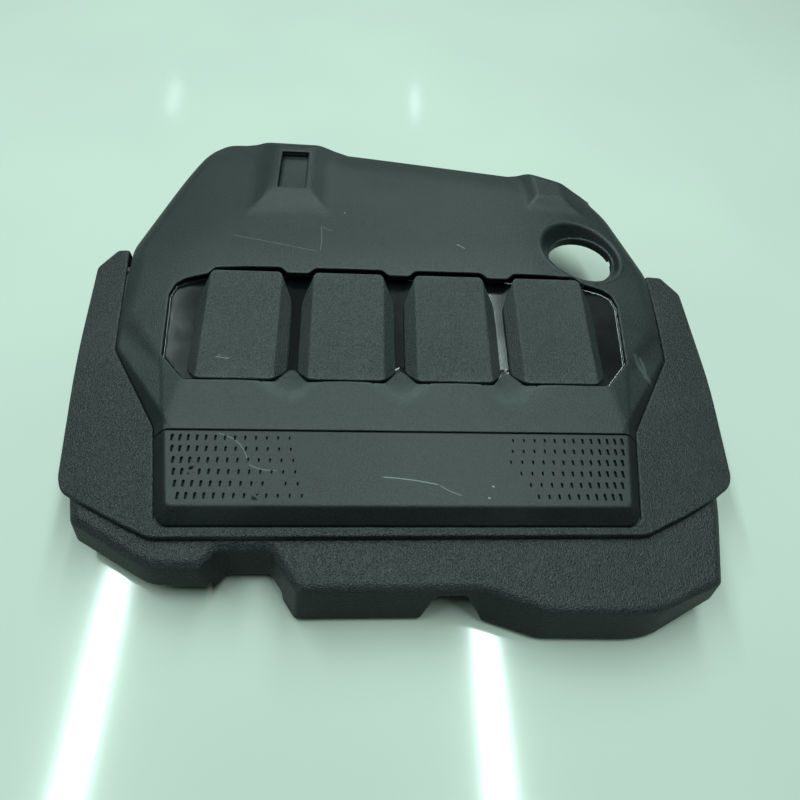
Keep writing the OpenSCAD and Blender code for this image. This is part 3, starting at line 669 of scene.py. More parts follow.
def main_cover_field(p):
    x, y, z = p
    crown, solid = cover_form(p)
    behind = np.maximum(-SEAM_Y - y, solid)
    base = nose_body(p, front_walls, front_foot, panel_face)
    under_panel = both(base + WALL + SEAM, y + SEAM_Y - 1)
    outer = either(behind, under_panel, 0.6)
    hollow = either(np.maximum(WALL - SEAM_Y - y, solid + WALL),
                    np.maximum(base + 2 * WALL + SEAM, y + SEAM_Y - WALL - 1))
    f = less(outer, hollow, 0.8)
    # flange that the side frame lies on
    ring = both(both(z - FLANGE_TOP, flange_outer(p)), both(y - FLANGE_BACK, block(flange_trim, p)))
    f = either(f, less(ring, flange_inner(p)), 0.8)
    # walls under the dents, and the funnel with its collar
    for dx in DENTS:
        f = patch(f, p, (dx, DENT_Y), 42, lambda g, q: either(
            g, both(both(dent_field(q, dx, WALL), near_cap(q)), both(-74 - q[1], q[1] + 35)), 1))
    wide, rho = funnel(p, FILLER_R + WALL, FILLER_R + 1.5 + WALL,
                       filler_top - FUNNEL_DEPTH - WALL)
    collar = both(both(wide, filler_top - COLLAR_DEPTH - z), crown)
    f = either(f, both(collar, rho - FUNNEL_R - WALL - 3), 1)
    # box round the slot
    slot = block(slot_walls, p, 1.2)
    f = either(f, both(both(both(slot - WALL, DECK_REF - z), far(hump_l[0], p) + WALL - ROOT),
                       -(far(hump_l[0], p) + SLOT_DEPTH + WALL)), 0.4)
    # ribs under the deck and under the panel
    grid = ribs_at((x, DECK_RIBS_X, 75 - y), (y, DECK_RIBS_Y, np.abs(x) - 235))
    low = block(deck_top + deck_lip + deck_front, p)
    ribs = both(both(grid, solid + WALL - ROOT), -(low + WALL + RIB_DEPTH - RIB_GAP))
    f = either(f, both(ribs, FLOOR_Z - z), 0.6)
    grid = ribs_at((np.abs(x), PANEL_RIBS_X, ENDLESS), (y, PANEL_RIBS_Y, ENDLESS))
    top = PANEL_TOP - SEAM - 2 * WALL
    ribs = both(both(grid, base + SEAM + 2 * WALL - ROOT), both(y + SEAM_Y, top - RIB_DEPTH - z))
    f = either(f, ribs, 0.6)
    f = both(f, FLOOR_Z - z, 0.8)
    # towers that hold the rubber sockets
    for i, place in enumerate(SOCKETS):
        if i < 2:
            roof = plane((0, 0, PANEL_TOP - SEAM - 2 * WALL + ROOT), (0, 0))
        else:
            *tilt, offset = (hump_l, hump_r)[i - 2][0]
            roof = (*tilt, offset + WALL - ROOT)
        f = patch(f, p, place, 20, lambda g, q: either(g, tower(q, place, roof), 0.6))
    f = pins_on(f, p, insert_pins, WALL, -LINER - PIN_TIP, ROOT, PIN_R)
    f = pins_on(f, p, mat_pins, WALL, -RIB_DEPTH - FOAM_T - PIN_TIP, ROOT, PIN_R)
    f = pins_on(f, p, mat_pins, WALL, -RIB_DEPTH, ROOT, PIN_R + 1.5)
    f = pins_on(f, p, level(skirt_pins, FLOOR_Z), 0, -FLANGE - PIN_TIP, ROOT, PIN_R)
    # cuts
    for dx in DENTS:
        dented = patch(solid.copy(), p, (dx, DENT_Y), 46,
                       lambda g, q: less(g, dent_field(q, dx), 5))
        f = np.where(dented > solid + 1e-4, np.maximum(f, dented), f)
    f = less(f, opening(p), 1)
    tight, _ = funnel(p, FILLER_R, FILLER_R + 1.5, filler_top - FUNNEL_DEPTH)
    f = less(f, tight, 2.5)
    f = patch(f, p, (FILLER[0] + 33, FILLER[1] + 2), 12, lambda g, q: less(g, notch(q), 0.5))
    f = less(f, both(slot, -(far(hump_l[0], p) + SLOT_DEPTH), 0.6), 1.8)
    for place in SOCKETS:
        f = patch(f, p, place, 20, lambda g, q: less(g, cup(q, place), 0.4))
    f = holes_in(f, p, level(frame_pins, FLANGE_TOP), 0, -FLANGE - 1, 1, HOLE_R)
    f = holes_in(f, p, level(panel_pins, PANEL_TOP - WALL - SEAM), 0, -WALL - 1, 1, HOLE_R)
    return f


flange_outer = Outline(inset(flange_line, -11))
flange_inner = Outline(inset(flange_line, 3 * WALL))
flange_trim = upright(inset(frame_line, 1 + 1.8 + WALL + PIN_PLAY))
slot_walls = upright([(-114, 158), (-88, 158), (-88, 217), (-114, 217)])


def near_cap(p):
    return either(far(brow_top[0], p), both(far(deck_top[0], p), far(band_plane, p)))


def notch(p):
    turn = math.radians(20)
    x = p[0] - (FILLER[0] + FILLER_R - 2)
    y = p[1] - (FILLER[1] - 1)
    u, v = x * math.cos(turn) + y * math.sin(turn), y * math.cos(turn) - x * math.sin(turn)
    w = p[2] - (filler_top - COLLAR_DEPTH - 1)
    return both(both(np.abs(u - 4) - 4, np.abs(v - 3.5) - 3.5), np.abs(w - 2.5) - 2.5)


CUP_R = SOCKET_R + SOCKET_PLAY


def tower(p, at, roof):
    x, y, z = p[0] - at[0], p[1] - at[1], p[2]
    top = SOCKET_H + SOCKET_PLAY
    can = both(np.hypot(x, y) - CUP_R - WALL,
               np.abs(z - (2 + top + WALL) / 2) - (top + WALL - 2) / 2)
    cross = either(both(np.abs(x) - CUP_R, np.abs(y) - WALL / 2),
                   both(np.abs(y) - CUP_R, np.abs(x) - WALL / 2))
    return both(either(can, both(cross, top + 1 - z), 1.5), far(roof, p))


def cup(p, at):
    rho, z = off(p, at), p[2]
    return either(both(rho - CUP_R, z - SOCKET_H - SOCKET_PLAY),
                  both(rho - CUP_R - 0.8, np.abs(z - 13) - 1.15))


FRAME_ROLL = 1.8
WING_LOW = FRAME_TOP - 32
PART_Z = FLOOR_Z + 0.3
frame_sides = walls(frame_line, WING_LOW, 1 / 28)
frame_edge = walls(inset(frame_line, 1), FRAME_TOP - 4, FRAME_ROLL / 4)
frame_top = [plane((0, 0, FRAME_TOP), (0, 0)),
             *(plane((side * 259, 75, FRAME_TOP), (-side * 0.0994, 0.0113))
               for side in (1, -1))]
frame_gap = Outline(frame_hole, 2)


def frame_form(p):
    return both(both(block(frame_sides, p, 2.5), block(frame_edge, p, 2), 0.8),
                block(frame_top, p, 2), 1)


def side_frame_field(p):
    _, y, z = p
    solid = frame_form(p)
    f = both(less(solid, solid + WALL, 0.6), WING_LOW - z, 1)
    grid = ribs_at((y, FRAME_RIBS_Y, ENDLESS))
    ribs = both(both(grid, solid + WALL - ROOT), both(FLANGE_TOP - RIB_DEPTH - z, -flange_wide(p)))
    f = either(f, ribs, 0.6)
    f = less(f, frame_gap(p), 1.6)
    f = less(f, both(y + 137, z - PART_Z), 0.6)
    return pins_on(f, p, level(frame_pins, FLANGE_TOP), 0, -FLANGE - PIN_TIP, ROOT, PIN_R)


flange_wide = Outline(inset(flange_line, -12))

skirt_parts = [
    [(-251.4, -110), (-236, -164), (-182, -195), (-175, -197), (-142, -198), (-120, -172),
     (-120, -110)],
    [(-190, -110), (-178, -185), (150, -184.5), (200, -110)],
    [(-130, -135.3), (-74, -214), (150, -214), (200, -110), (-130, -110)],
    [(-40, -182.7), (53, -214), (99, -229.5), (168, -231), (181, -229), (233, -208), (238, -202),
     (246, -148), (257.2, -110), (-40, -110)]]
SKIRT_LEAN = 0.17
skirt_walls = [(walls(line, SHOULDER_Z, SKIRT_LEAN, 0, len(line) - 2),
                walls(inset(line, 0.5), SHOULDER_Z - 1, 5 / 4, 0, len(line) - 2))
               for line in skirt_parts]
skirt_top = [plane((0, SKIRT_FRONT, FLOOR_Z), (0, 0.045)), plane((0, 0, FLOOR_Z), (0, 0))]
skirt_back = Outline([(-400, -139.5), (-241, -139.5), (-176, -160), (176, -160), (247, -139.5),
                      (400, -139.5), (400, 100), (-400, 100)])


def skirt_form(p):
    f = None
    for sides, edges in skirt_walls:
        one = both(block(sides, p, 2), block(edges, p, 2), 1)
        f = one if f is None else either(f, one, 2.5)
    return both(f, block(skirt_top, p, 2), 1.4)


def front_skirt_field(p):
    x, y, z = p
    solid = skirt_form(p)
    f = less(solid, solid + WALL, 0.8)
    grid = ribs_at((x, SKIRT_RIBS_X, ENDLESS))
    under = plane((0, SKIRT_FRONT, FLOOR_Z - 10), (0, 0.55))
    ribs = both(both(grid, solid + WALL - ROOT), -far(under, p))
    f = either(f, both(ribs, y - SKIRT_FRONT), 0.6)
    f = less(f, skirt_back(p), 0.6)
    f = both(f, SKIRT_CLEAR - z, 1)
    f = less(f, both(x + 137, z - 22, 2), 1)
    f = less(f, both(np.abs(x + 113) - 25, z - 14, 2), 1)
    ramp = both(z - SKIRT_CLEAR - (x - SKIRT_RAMP_X) * SKIRT_RAMP, SKIRT_RAMP_X - x)
    ramp = ramp / math.hypot(1, SKIRT_RAMP)
    f = less(f, ramp, 1)
    left = plane_2d((14, SKIRT_CLEAR), (23, 40), x, z)
    right = plane_2d((44, 40), (59, SKIRT_CLEAR), x, z)
    gap = both(both(left, right), z - 40, 4)
    f = less(f, both(gap, y + 200), 1.2)
    return holes_in(f, p, level(skirt_pins, FLOOR_Z), 0, -FLANGE - 1, 1, HOLE_R)


def plane_2d(a, b, u, v):
    """Distance to the left of the line from a to b, negative on its right."""
    e = unit((b[0] - a[0], b[1] - a[1]))
    return (v - a[1]) * e[0] - (u - a[0]) * e[1]


def panel_field(p):
    y = p[1]
    body = nose_body(p, front_walls, front_foot, panel_face, 1.6)
    f = both(body, y + SEAM_Y + SEAM, 1)
    f = less(f, np.maximum(body + WALL, y + SEAM_Y), 0.6)
    f = both(f, FLANGE_TOP - p[2], 0.6)
    seats = level(panel_pins, PANEL_TOP - WALL)
    f = pins_on(f, p, seats, 0, -WALL - SEAM - PIN_TIP, ROOT, PIN_R)
    return pins_on(f, p, seats, 0, -SEAM, ROOT, PIN_R + 1.5)


insert_flange = Outline(inset(basin, -14.5), 4)
insert_wall = Outline(inset(basin, -1 - LINER), 5)
insert_hole = Outline(inset(basin, -1), 4)
recess_plane = plane((0, -DECK_Y, DECK_Z), (0, RAMP))


def insert_field(p):
    deck = deck_form(p)[1]
    top = either(deck, both(brow_form(p), -SEAM_Y - p[1]), 1)
    f = less(both(insert_flange(p), top + WALL), top + WALL + LINER, 0.4)
    cell = both(both(insert_wall(p), top + WALL), -(far(recess_plane, p) + RECESS + LINER), 1)
    f = either(f, cell, 0.5)
    f = less(f, both(insert_hole(p), -(far(recess_plane, p) + RECESS), 3), 0.4)
    for dx in DENTS:
        f = patch(f, p, (dx, DENT_Y), 46, lambda g, q: less(g, dent_field(q, dx, WALL + SEAM), 1))
    f = less(f, off(p, FILLER) - FUNNEL_R - WALL - 0.2, 0.4)
    f = holes_in(f, p, insert_pins, WALL, -LINER - 1, 1, HOLE_R)
    for seats in pad_pins:
        f = holes_in(f, p, seats, RECESS, -LINER - 1, 1, HOLE_R)
    return f


def pad_form(p, x):
    h, front, back = PAD_W / 2, PAD_LEN / 2 + 1, PAD_LEN / 2 - 1
    line = [(x - h + 10, -front), (x + h - 10, -front), (x + h, 12 - front), (x + h, back - 25),
            (x + h - 11, back), (x - h + 11, back), (x - h, back - 25), (x - h, 12 - front)]
    top = DECK_Z + RAMP * DECK_Y
    slopes = [plane((x, 0, top), (0, RAMP)),
              *(plane((x + side * PAD_FLAT / 2, 0, top), (-side * 0.8, RAMP))
                for side in (1, -1))]
    return both(block(upright(line), p, 3), block(slopes, p, 0.9) + PAD_SINK, 1.1)


def pad_field(i):
    at = PAD_X[i]

    def field(p):
        x, y, _ = p
        solid = pad_form(p, at)
        f = less(solid, solid + WALL, 0.6)
        grid = ribs_at((np.abs(x - at), (15,), ENDLESS), (np.abs(y), (26,), ENDLESS))
        ribs = both(grid, solid + WALL - ROOT)
        ribs = both(ribs, -(far(recess_plane, p) + RECESS - 2 * RIB_GAP))
        f = either(f, ribs, 0.6)
        f = both(f, -(far(recess_plane, p) + RECESS), 0.8)
        rise = RECESS - PAD_SINK - WALL
        f = pins_on(f, p, pad_pins[i], RECESS, -LINER - PIN_TIP, ROOT, PIN_R)
        return pins_on(f, p, pad_pins[i], RECESS, 0, rise + ROOT, PIN_R + 1.8)

    return field


mat_plan = [(-205, 80), (120, 80), (128, 120), (124, 158), (120, 192), (-180, 222), (-200, 190),
            (-218, 130)]
mat_edge = upright(mat_plan)


def mat_field(p):
    depth = block(deck_top + deck_lip + deck_front, p, 4)
    f = both(both(block(mat_edge, p, 6), depth + WALL + RIB_DEPTH, 3),
             -(depth + WALL + RIB_DEPTH + FOAM_T), 3)
    for at in (HUMP_L, HUMP_R):
        f = less(f, off(p, at) - 24, 1.5)
    f = less(f, off(p, FILLER) - FUNNEL_R - WALL - 4, 1.5)
    return holes_in(f, p, mat_pins, WALL + RIB_DEPTH, -FOAM_T - 1, 1, HOLE_R)


def turned(name, profile, at, steps=72):
    """A closed solid turned from (radius, height) points that start and end on the axis."""
    ring = np.array(profile, float)
    inner = ring[1:-1]
    angle = np.arange(steps) * 2 * math.pi / steps
    v = np.empty((len(inner) * steps + 2, 3))
    for k, (r, z) in enumerate(inner):
        rows = slice(k * steps, (k + 1) * steps)
        v[rows, 0], v[rows, 1], v[rows, 2] = r * np.cos(angle), r * np.sin(angle), z
    v[-2], v[-1] = (0, 0, ring[0][1]), (0, 0, ring[-1][1])
    v[:, 0] += at[0]
    v[:, 1] += at[1]
    i = np.arange(steps)
    j = (i + 1) % steps
    quads = np.concatenate([np.stack([k * steps + i, k * steps + j, (k + 1) * steps + j,
                                      (k + 1) * steps + i], 1) for k in range(len(inner) - 1)])
    last = (len(inner) - 1) * steps
    caps = np.concatenate([np.stack([j, i, np.full(steps, len(v) - 2)], 1),
                           np.stack([last + i, last + j, np.full(steps, len(v) - 1)], 1)])
    bm = bmesh.new()
    points = [bm.verts.new(p) for p in in_metres(v)]
    for f in list(quads) + list(caps):
        bm.faces.new([points[k] for k in f])
    bmesh.ops.recalc_face_normals(bm, faces=bm.faces)
    mesh = bpy.data.meshes.new(name)
    bm.to_mesh(mesh)
    bm.free()
    for poly in mesh.polygons:
        poly.use_smooth = True
    mesh.set_sharp_from_angle(angle=math.radians(35))
    return linked(name, mesh)


def rubber_socket(name, at):
    mouth, ball, mouth_r = 4, 5, 4.4
    ball_z = mouth + math.sqrt(ball ** 2 - mouth_r ** 2)
    arc = [(ball * math.sin(t), ball_z - ball * math.cos(t))
           for t in np.linspace(math.asin(mouth_r / ball), math.pi - math.asin(2.5 / ball), 12)]
    outer = [(mouth_r + 0.5, 0), (SOCKET_R + 2.4, 0), (SOCKET_R + 3, 0.6), (SOCKET_R + 3, 1.5),
             (SOCKET_R + 2.5, 2), (SOCKET_R + 0.5, 2), (SOCKET_R, 2.5), (SOCKET_R, 11.7),
             (SOCKET_R + 0.45, 12.1), (SOCKET_R + 0.8, 12.6), (SOCKET_R + 0.8, 13.4),
             (SOCKET_R + 0.45, 13.9), (SOCKET_R, 14.3), (SOCKET_R, 17.2),
             (SOCKET_R - 0.8, SOCKET_H)]
    bore = [(2.5, ball_z + ball + 3), (2.5, arc[-1][1])] + arc[::-1] + [(mouth_r, 0.6)]
    profile = [(0, SOCKET_H)] + outer[::-1] + bore[::-1] + [(0, ball_z + ball + 3)]
    return turned(name, profile, at)


# ---- node trees ----

class Tree:
    """A node tree that is written one call at a time."""

    def __init__(self, tree):
        self.tree = tree

    def give(self, target, value):
        """Links a socket to an input, or sets the input to a plain value."""
        if isinstance(value, bpy.types.NodeSocket):
            self.tree.links.new(value, target)
        else:
            target.default_value = value

    def add(self, kind, inputs=None, label="", **settings):
        node = self.tree.nodes.new(kind)
        node.label = label
        for key, value in settings.items():
            setattr(node, key, value)
        for key, value in (inputs or {}).items():
            self.give(node.inputs[key], value)
        return node

    def math(self, op, *values):
        return self.add("ShaderNodeMath", dict(enumerate(values)), operation=op).outputs[0]

    def apart(self, vector):
        return self.add("ShaderNodeSeparateXYZ", {0: vector}).outputs

    def vector(self, *parts):
        return self.add("ShaderNodeCombineXYZ", dict(enumerate(parts))).outputs[0]


def node_group(kind, name, inputs, outputs):
    """A group with its inputs as (name, type, value) and its outputs as (name, type)."""
    tree = bpy.data.node_groups.new(name, kind)
    for side, sockets in (("INPUT", inputs), ("OUTPUT", outputs)):
        for label, sort, *value in sockets:
            socket = tree.interface.new_socket(label, in_out=side, socket_type="NodeSocket" + sort)
            if value:
                socket.default_value = value[0]
    t = Tree(tree)
    return t, t.add("NodeGroupInput").outputs, t.add("NodeGroupOutput").inputs


# ---- repeats made with geometry nodes ----

GEOMETRY = ("Geometry", "Geometry")
MERGE = 1e-6
NUT_COLUMNS, NUT_ROWS, NUT_BEND, NUT_SLIT = 48, 6, 0.62, 0.1
PERF_FRONT = (171, 169.5, 167, 165, 162.5, 159)
PERF_ROWS, PERF_COLUMNS, PERF_DEPTH = 6, 13, 0.0022
PERF_PITCH, PERF_CLOSING, PERF_ROW = 5.8, 0.25, 9.4
PERF_WIDTH, PERF_LENGTH, PERF_SHORTER, PERF_NARROWER = 2.3, 6, 0.26, 0.075


def run_tree(obj, tree, values, name):
    """Sets the tree's inputs by their identifiers, applies it and gives the plain mesh."""
    modifier = obj.modifiers.new(name, "NODES")
    modifier.node_group = tree
    for item in tree.interface.items_tree:
        if item.item_type == "SOCKET" and item.in_out == "INPUT" and item.name in values:
            modifier[item.identifier] = values[item.name]
    return evaluated(obj, name)


def raised(t, sheet, merge, **reach):
    """A flat sheet drawn up along Z into a closed solid."""
    up = t.add("GeometryNodeExtrudeMesh", {
        "Mesh": sheet, "Individual": False, "Offset": t.vector(0.0, 0.0, 1.0), **reach},
        mode="FACES")
    under = t.add("GeometryNodeFlipFaces", {"Mesh": sheet})
    whole = t.add("GeometryNodeJoinGeometry")
    t.give(whole.inputs[0], up.outputs["Mesh"])
    t.give(whole.inputs[0], under.outputs[0])
    return t.add("GeometryNodeMergeByDistance", {
        "Geometry": whole.outputs[0], "Distance": merge}).outputs[0]


def attribute_of(t, name):
    return t.add("GeometryNodeInputNamedAttribute", {"Name": name},
                 data_type="FLOAT_VECTOR").outputs[0]


def copied(t, points, piece, **ways):
    copies = t.add("GeometryNodeInstanceOnPoints", {"Points": points, "Instance": piece, **ways})
    return t.add("GeometryNodeRealizeInstances", {0: copies.outputs[0]}).outputs[0]


def painted(t, geometry, mat, out):
    paint = t.add("GeometryNodeSetMaterial", {"Geometry": geometry, "Material": mat})
    t.give(out[0], paint.outputs[0])
    return t.tree


def seats_object(name, seats, depth):
    """Points under tilted seats, with the axis of each as an attribute."""
    places, axes = [], []
    for at, slope in seats:
        axis = unit((-slope[0], -slope[1], 1.0))
        places.append(np.array(at) - axis * depth)
        axes.append(axis)
    return point_object(name, places, "seat_axis", axes)


def push_nut_tree(mat):
    """A stamped ring with sprung fingers, set on each point along its seat axis."""
    t, given, out = node_group("GeometryNodeTree", "push nuts", [
        GEOMETRY, ("Radius", "Float", 0.005), ("Bore", "Float", 0.00225),
        ("Sheet", "Float", 0.0004), ("Lift", "Float", 0.0003), ("Fingers", "Int", 6)], [GEOMETRY])
    grid = t.add("GeometryNodeMeshGrid", {
        "Size X": 1, "Size Y": 1, "Vertices X": NUT_COLUMNS + 1, "Vertices Y": NUT_ROWS + 1})
    x, y, _ = t.apart(t.add("GeometryNodeInputPosition").outputs[0])
    # the strip is rolled into a ring, its inner rows bent up
    turn = t.math("MULTIPLY", t.math("ADD", x, 0.5), 2 * math.pi)
    share = t.math("ADD", y, 0.5)
    reach = t.math("SUBTRACT", given["Radius"], given["Bore"])
    radius = t.math("MULTIPLY_ADD", share, reach, given["Bore"])
    inner = t.math("MAXIMUM", t.math("SUBTRACT", NUT_BEND, share), 0.0)
    bent = t.math("MULTIPLY", t.math("MULTIPLY", inner, 1 / NUT_BEND), given["Lift"])
    spot = t.vector(t.math("MULTIPLY", t.math("COSINE", turn), radius),
                    t.math("MULTIPLY", t.math("SINE", turn), radius), bent)
    # the cells of the slits between the fingers
    column = t.math("FLOOR", t.math("MULTIPLY", t.math("ADD", x, 0.5), NUT_COLUMNS))
    each = t.math("DIVIDE", NUT_COLUMNS, given["Fingers"])
    first = t.math("LESS_THAN", t.math("FLOORED_MODULO", column, each), 0.5)
    slit = t.math("MULTIPLY", first, t.math("LESS_THAN", y, NUT_SLIT))
    cut = t.add("GeometryNodeDeleteGeometry", {
        "Geometry": grid.outputs["Mesh"], "Selection": slit}, domain="FACE")
    bend = t.add("GeometryNodeSetPosition", {"Geometry": cut.outputs[0], "Position": spot})
    ring = t.add("GeometryNodeMergeByDistance", {"Geometry": bend.outputs[0], "Distance": MERGE})
    nut = raised(t, ring.outputs[0], MERGE, **{"Offset Scale": given["Sheet"]})
    aim = t.add("FunctionNodeAlignRotationToVector", {"Vector": attribute_of(t, "seat_axis")},
                axis="Z")
    return painted(t, copied(t, given["Geometry"], nut, Rotation=aim.outputs[0]), mat, out)


def perforation_points():
    """The slots in columns that shrink and close up from the ends to the middle."""
    places, sizes = [], []
    for side in (-1, 1):
        for row in range(PERF_ROWS):
            for k in range(PERF_COLUMNS):
                if side < 0 or row < 3 or k < 15 - row:
                    x = PERF_FRONT[row] - k * PERF_PITCH - PERF_CLOSING * k * (k - 1) / 2
                    places.append((side * x, -SEAM_Y - 7 - row * PERF_ROW, PANEL_TOP))
                    sizes.append(((PERF_WIDTH - PERF_NARROWER * k) * MM,
                                  (PERF_LENGTH - PERF_SHORTER * k) * MM, 2 * PERF_DEPTH))
    return point_object("perforation points", places, "slot_size", sizes)


def perforation_tree(mat):
    """Cuts a rounded slot of its own size into the panel at each point."""
    t, given, out = node_group("GeometryNodeTree", "perforations", [
        GEOMETRY, ("Points", "Object"), ("End Segments", "Int", 12)], [GEOMETRY])
    ring = t.add("GeometryNodeMeshCircle", {"Vertices": given["End Segments"], "Radius": 0.5},
                 fill_type="NGON")
    # the two halves of the ring move apart, and the whole is brought back to unit size
    x, y, _ = t.apart(t.add("GeometryNodeInputPosition").outputs[0])
    side = t.math("SIGN", t.math("ADD", y, 1e-5))
    long_y = t.math("ADD", t.math("MULTIPLY", y, 0.42), t.math("MULTIPLY", side, 0.29))
    shape = t.add("GeometryNodeSetPosition", {
        "Geometry": ring.outputs[0], "Position": t.vector(x, long_y, -0.5)})
    cutter = raised(t, shape.outputs[0], 1e-4)
    points = t.add("GeometryNodeObjectInfo", {"Object": given["Points"]})
    slots = copied(t, points.outputs["Geometry"], cutter, Scale=attribute_of(t, "slot_size"))
    cut = t.add("GeometryNodeMeshBoolean", operation="DIFFERENCE")
    t.give(cut.inputs["Mesh 1"], given["Geometry"])
    t.give(cut.inputs["Mesh 2"], slots)
    return painted(t, cut.outputs["Mesh"], mat, out)


# ---- materials ----

def here(t):
    return t.add("ShaderNodeTexCoord").outputs["Object"]


def noise(t, label, scale, detail, rough):
    return t.add("ShaderNodeTexNoise", {"Vector": here(t), "Scale": scale, "Detail": detail,
                                        "Roughness": rough}, label).outputs["Fac"]


def cells(t, label, scale, feature="F1", **inputs):
    return t.add("ShaderNodeTexVoronoi", {"Vector": here(t), "Scale": scale, **inputs}, label,
                 feature=feature).outputs


def stretched(t, value, low, high, to_low=0.0, to_high=1.0):
    return t.add("ShaderNodeMapRange", {
        "Value": value, "From Min": low, "From Max": high, "To Min": to_low, "To Max": to_high},
        interpolation_type="SMOOTHSTEP").outputs["Result"]


def bumped(t, label, height, distance, **inputs):
    return t.add("ShaderNodeBump", {"Height": height, "Distance": distance, **inputs},
                 label).outputs["Normal"]


def grain_group():
    """The eroded grain of a mould: fine pits over a slow wave, as a normal and as a tone."""
    t, given, out = node_group("ShaderNodeTree", "moulded grain", [
        ("Scale", "Float", 1200.0), ("Depth", "Float", 0.00003), ("Wave", "Float", 0.0001)],
        [("Normal", "Vector"), ("Tone", "Float")])
    pits = cells(t, "pits", given["Scale"], "SMOOTH_F1", Smoothness=0.4)
    grit = noise(t, "grit", t.math("MULTIPLY", given["Scale"], 0.7), 2.0, 0.6)
    height = t.math("ADD", t.math("MULTIPLY", pits["Distance"], 0.6), t.math("MULTIPLY", grit, 0.9))
    grain = bumped(t, "grain", height, given["Depth"], Strength=1.0)
    t.give(out["Normal"], bumped(t, "shrink marks", noise(t, "slow wave", 28.0, 1.0, 0.4),
                                 given["Wave"], Normal=grain, Strength=1.0))
    t.give(out["Tone"], grit)
    return t.tree


def rim_wear_and_highlight_group():
    """Lighter outer edges, partly scuffed by handling and partly a painted highlight of the sheen
    on rounded edges: the bend of the surface, broken up by noise.
    """
    t, given, out = node_group("ShaderNodeTree", "rim wear", [("Amount", "Float", 0.5)],
                               [("Mask", "Float")])
    rim = t.add("ShaderNodeAttribute", attribute_name="rim", attribute_type="GEOMETRY")
    patchy = stretched(t, noise(t, "patches", 60.0, 4.0, 0.65), 0.35, 0.7, 0.35, 1.0)
    edge = stretched(t, rim.outputs["Fac"], 0.1, 0.75)
    worn_and_highlit = t.math("MULTIPLY", t.math("MULTIPLY", edge, patchy), given["Amount"])
    t.give(out["Mask"], t.math("MINIMUM", worn_and_highlit, 1.0))
    return t.tree


def dust_group():
    """Thin dust in drifts, with a few separate specks."""
    t, given, out = node_group("ShaderNodeTree", "dust", [
        ("Amount", "Float", 0.3), ("Specks", "Float", 0.5)], [("Mask", "Float")])
    film = stretched(t, noise(t, "drifts", 11.0, 5.0, 0.6), 0.4, 0.75)
    spots = cells(t, "specks", 85.0)
    shade = t.add("ShaderNodeSeparateColor", {0: spots["Color"]}).outputs[0]
    speck = t.math("MULTIPLY", t.math("GREATER_THAN", shade, 0.93),
                   stretched(t, spots["Distance"], 0.05, 0.09, 1.0, 0.0))
    speck = t.math("MULTIPLY", speck, given["Specks"])
    film = t.math("MULTIPLY", film, given["Amount"])
    t.give(out["Mask"], t.math("MINIMUM", t.math("ADD", film, speck), 1.0))
    return t.tree


def scratch_group():
    """A thin line from Start to End, seen from above, that fades towards its ends."""
    t, given, out = node_group("ShaderNodeTree", "scratch", [
        ("Start", "Vector", (0, 0, 0)), ("End", "Vector", (0, 0, 0)), ("Width", "Float", 0.0004),
        ("Bow", "Float", 0.0)], [("Mask", "Float")])

    def vector(op, a, b=None, scale=None):
        inputs = {key: v for key, v in ((0, a), (1, b), ("Scale", scale)) if v is not None}
        node = t.add("ShaderNodeVectorMath", inputs, operation=op)
        return node.outputs["Value" if op in ("DOT_PRODUCT", "LENGTH") else "Vector"]

    flat = (1, 1, 0)
    along = vector("MULTIPLY", vector("SUBTRACT", given["End"], given["Start"]), flat)
    away = vector("MULTIPLY", vector("SUBTRACT", here(t), given["Start"]), flat)
    run = t.math("MAXIMUM", vector("DOT_PRODUCT", along, along), 1e-9)
    share = t.math("DIVIDE", vector("DOT_PRODUCT", away, along), run)
    share = t.add("ShaderNodeClamp", {"Value": share}).outputs[0]
    # the line bows sideways by Bow at its middle
    side = vector("NORMALIZE", vector("CROSS_PRODUCT", along, (0, 0, 1)))
    hump = t.math("MULTIPLY", t.math("MULTIPLY", share, t.math("SUBTRACT", 1.0, share)), 4.0)
    spot = vector("ADD", vector("SCALE", along, scale=share),
                  vector("SCALE", side, scale=t.math("MULTIPLY", hump, given["Bow"])))
    gap = vector("LENGTH", vector("SUBTRACT", away, spot))
    line = t.math("SUBTRACT", 1.0, t.math("DIVIDE", gap, given["Width"]))
    line = t.math("MAXIMUM", line, 0.0)
    ends = t.math("MINIMUM", t.math("MULTIPLY", hump, 4.0), 1.0)
    t.give(out["Mask"], t.math("MULTIPLY", line, ends))
    return t.tree


GRAIN, RIM_WEAR_AND_HIGHLIGHT, DUST, SCRATCH = grain_group(), rim_wear_and_highlight_group(), dust_group(), scratch_group()


def use(t, group, output, **values):
    return t.add("ShaderNodeGroup", values, group.name, node_tree=group).outputs[output]


def mixed(t, mask, a, b, kind="RGBA"):
    """Sockets or plain values a and b, mixed by a mask."""
    slots, result = {"RGBA": ((6, 7), 2), "FLOAT": ((2, 3), 0)}[kind]
    inputs = {0: mask}
    for i, v in zip(slots, (a, b)):
        plain = kind == "RGBA" and not isinstance(v, bpy.types.NodeSocket)
        inputs[i] = (*v, 1) if plain else v
    return t.add("ShaderNodeMix", inputs, data_type=kind).outputs[result]


def material(name):
    mat = bpy.data.materials.new(name)
    mat.use_nodes = True
    t = Tree(mat.node_tree)
    t.tree.nodes.clear()
    shader = t.add("ShaderNodeBsdfPrincipled")
    t.add("ShaderNodeOutputMaterial", {"Surface": shader.outputs[0]})
    return mat, t, shader


def dressed(t, shader, color, rough, normal=None):
    values = {"Base Color": color, "Roughness": rough, "Normal": normal}
    for key, value in values.items():
        if value is not None:
            t.give(shader.inputs[key], value)


DUST_TONE, DUST_COVER = (0.16, 0.17, 0.16), 0.2
SCRATCH_TONE, SCRATCH_ROUGH = (0.32, 0.36, 0.35), 0.35
PLASTIC_WAVE = 0.0001


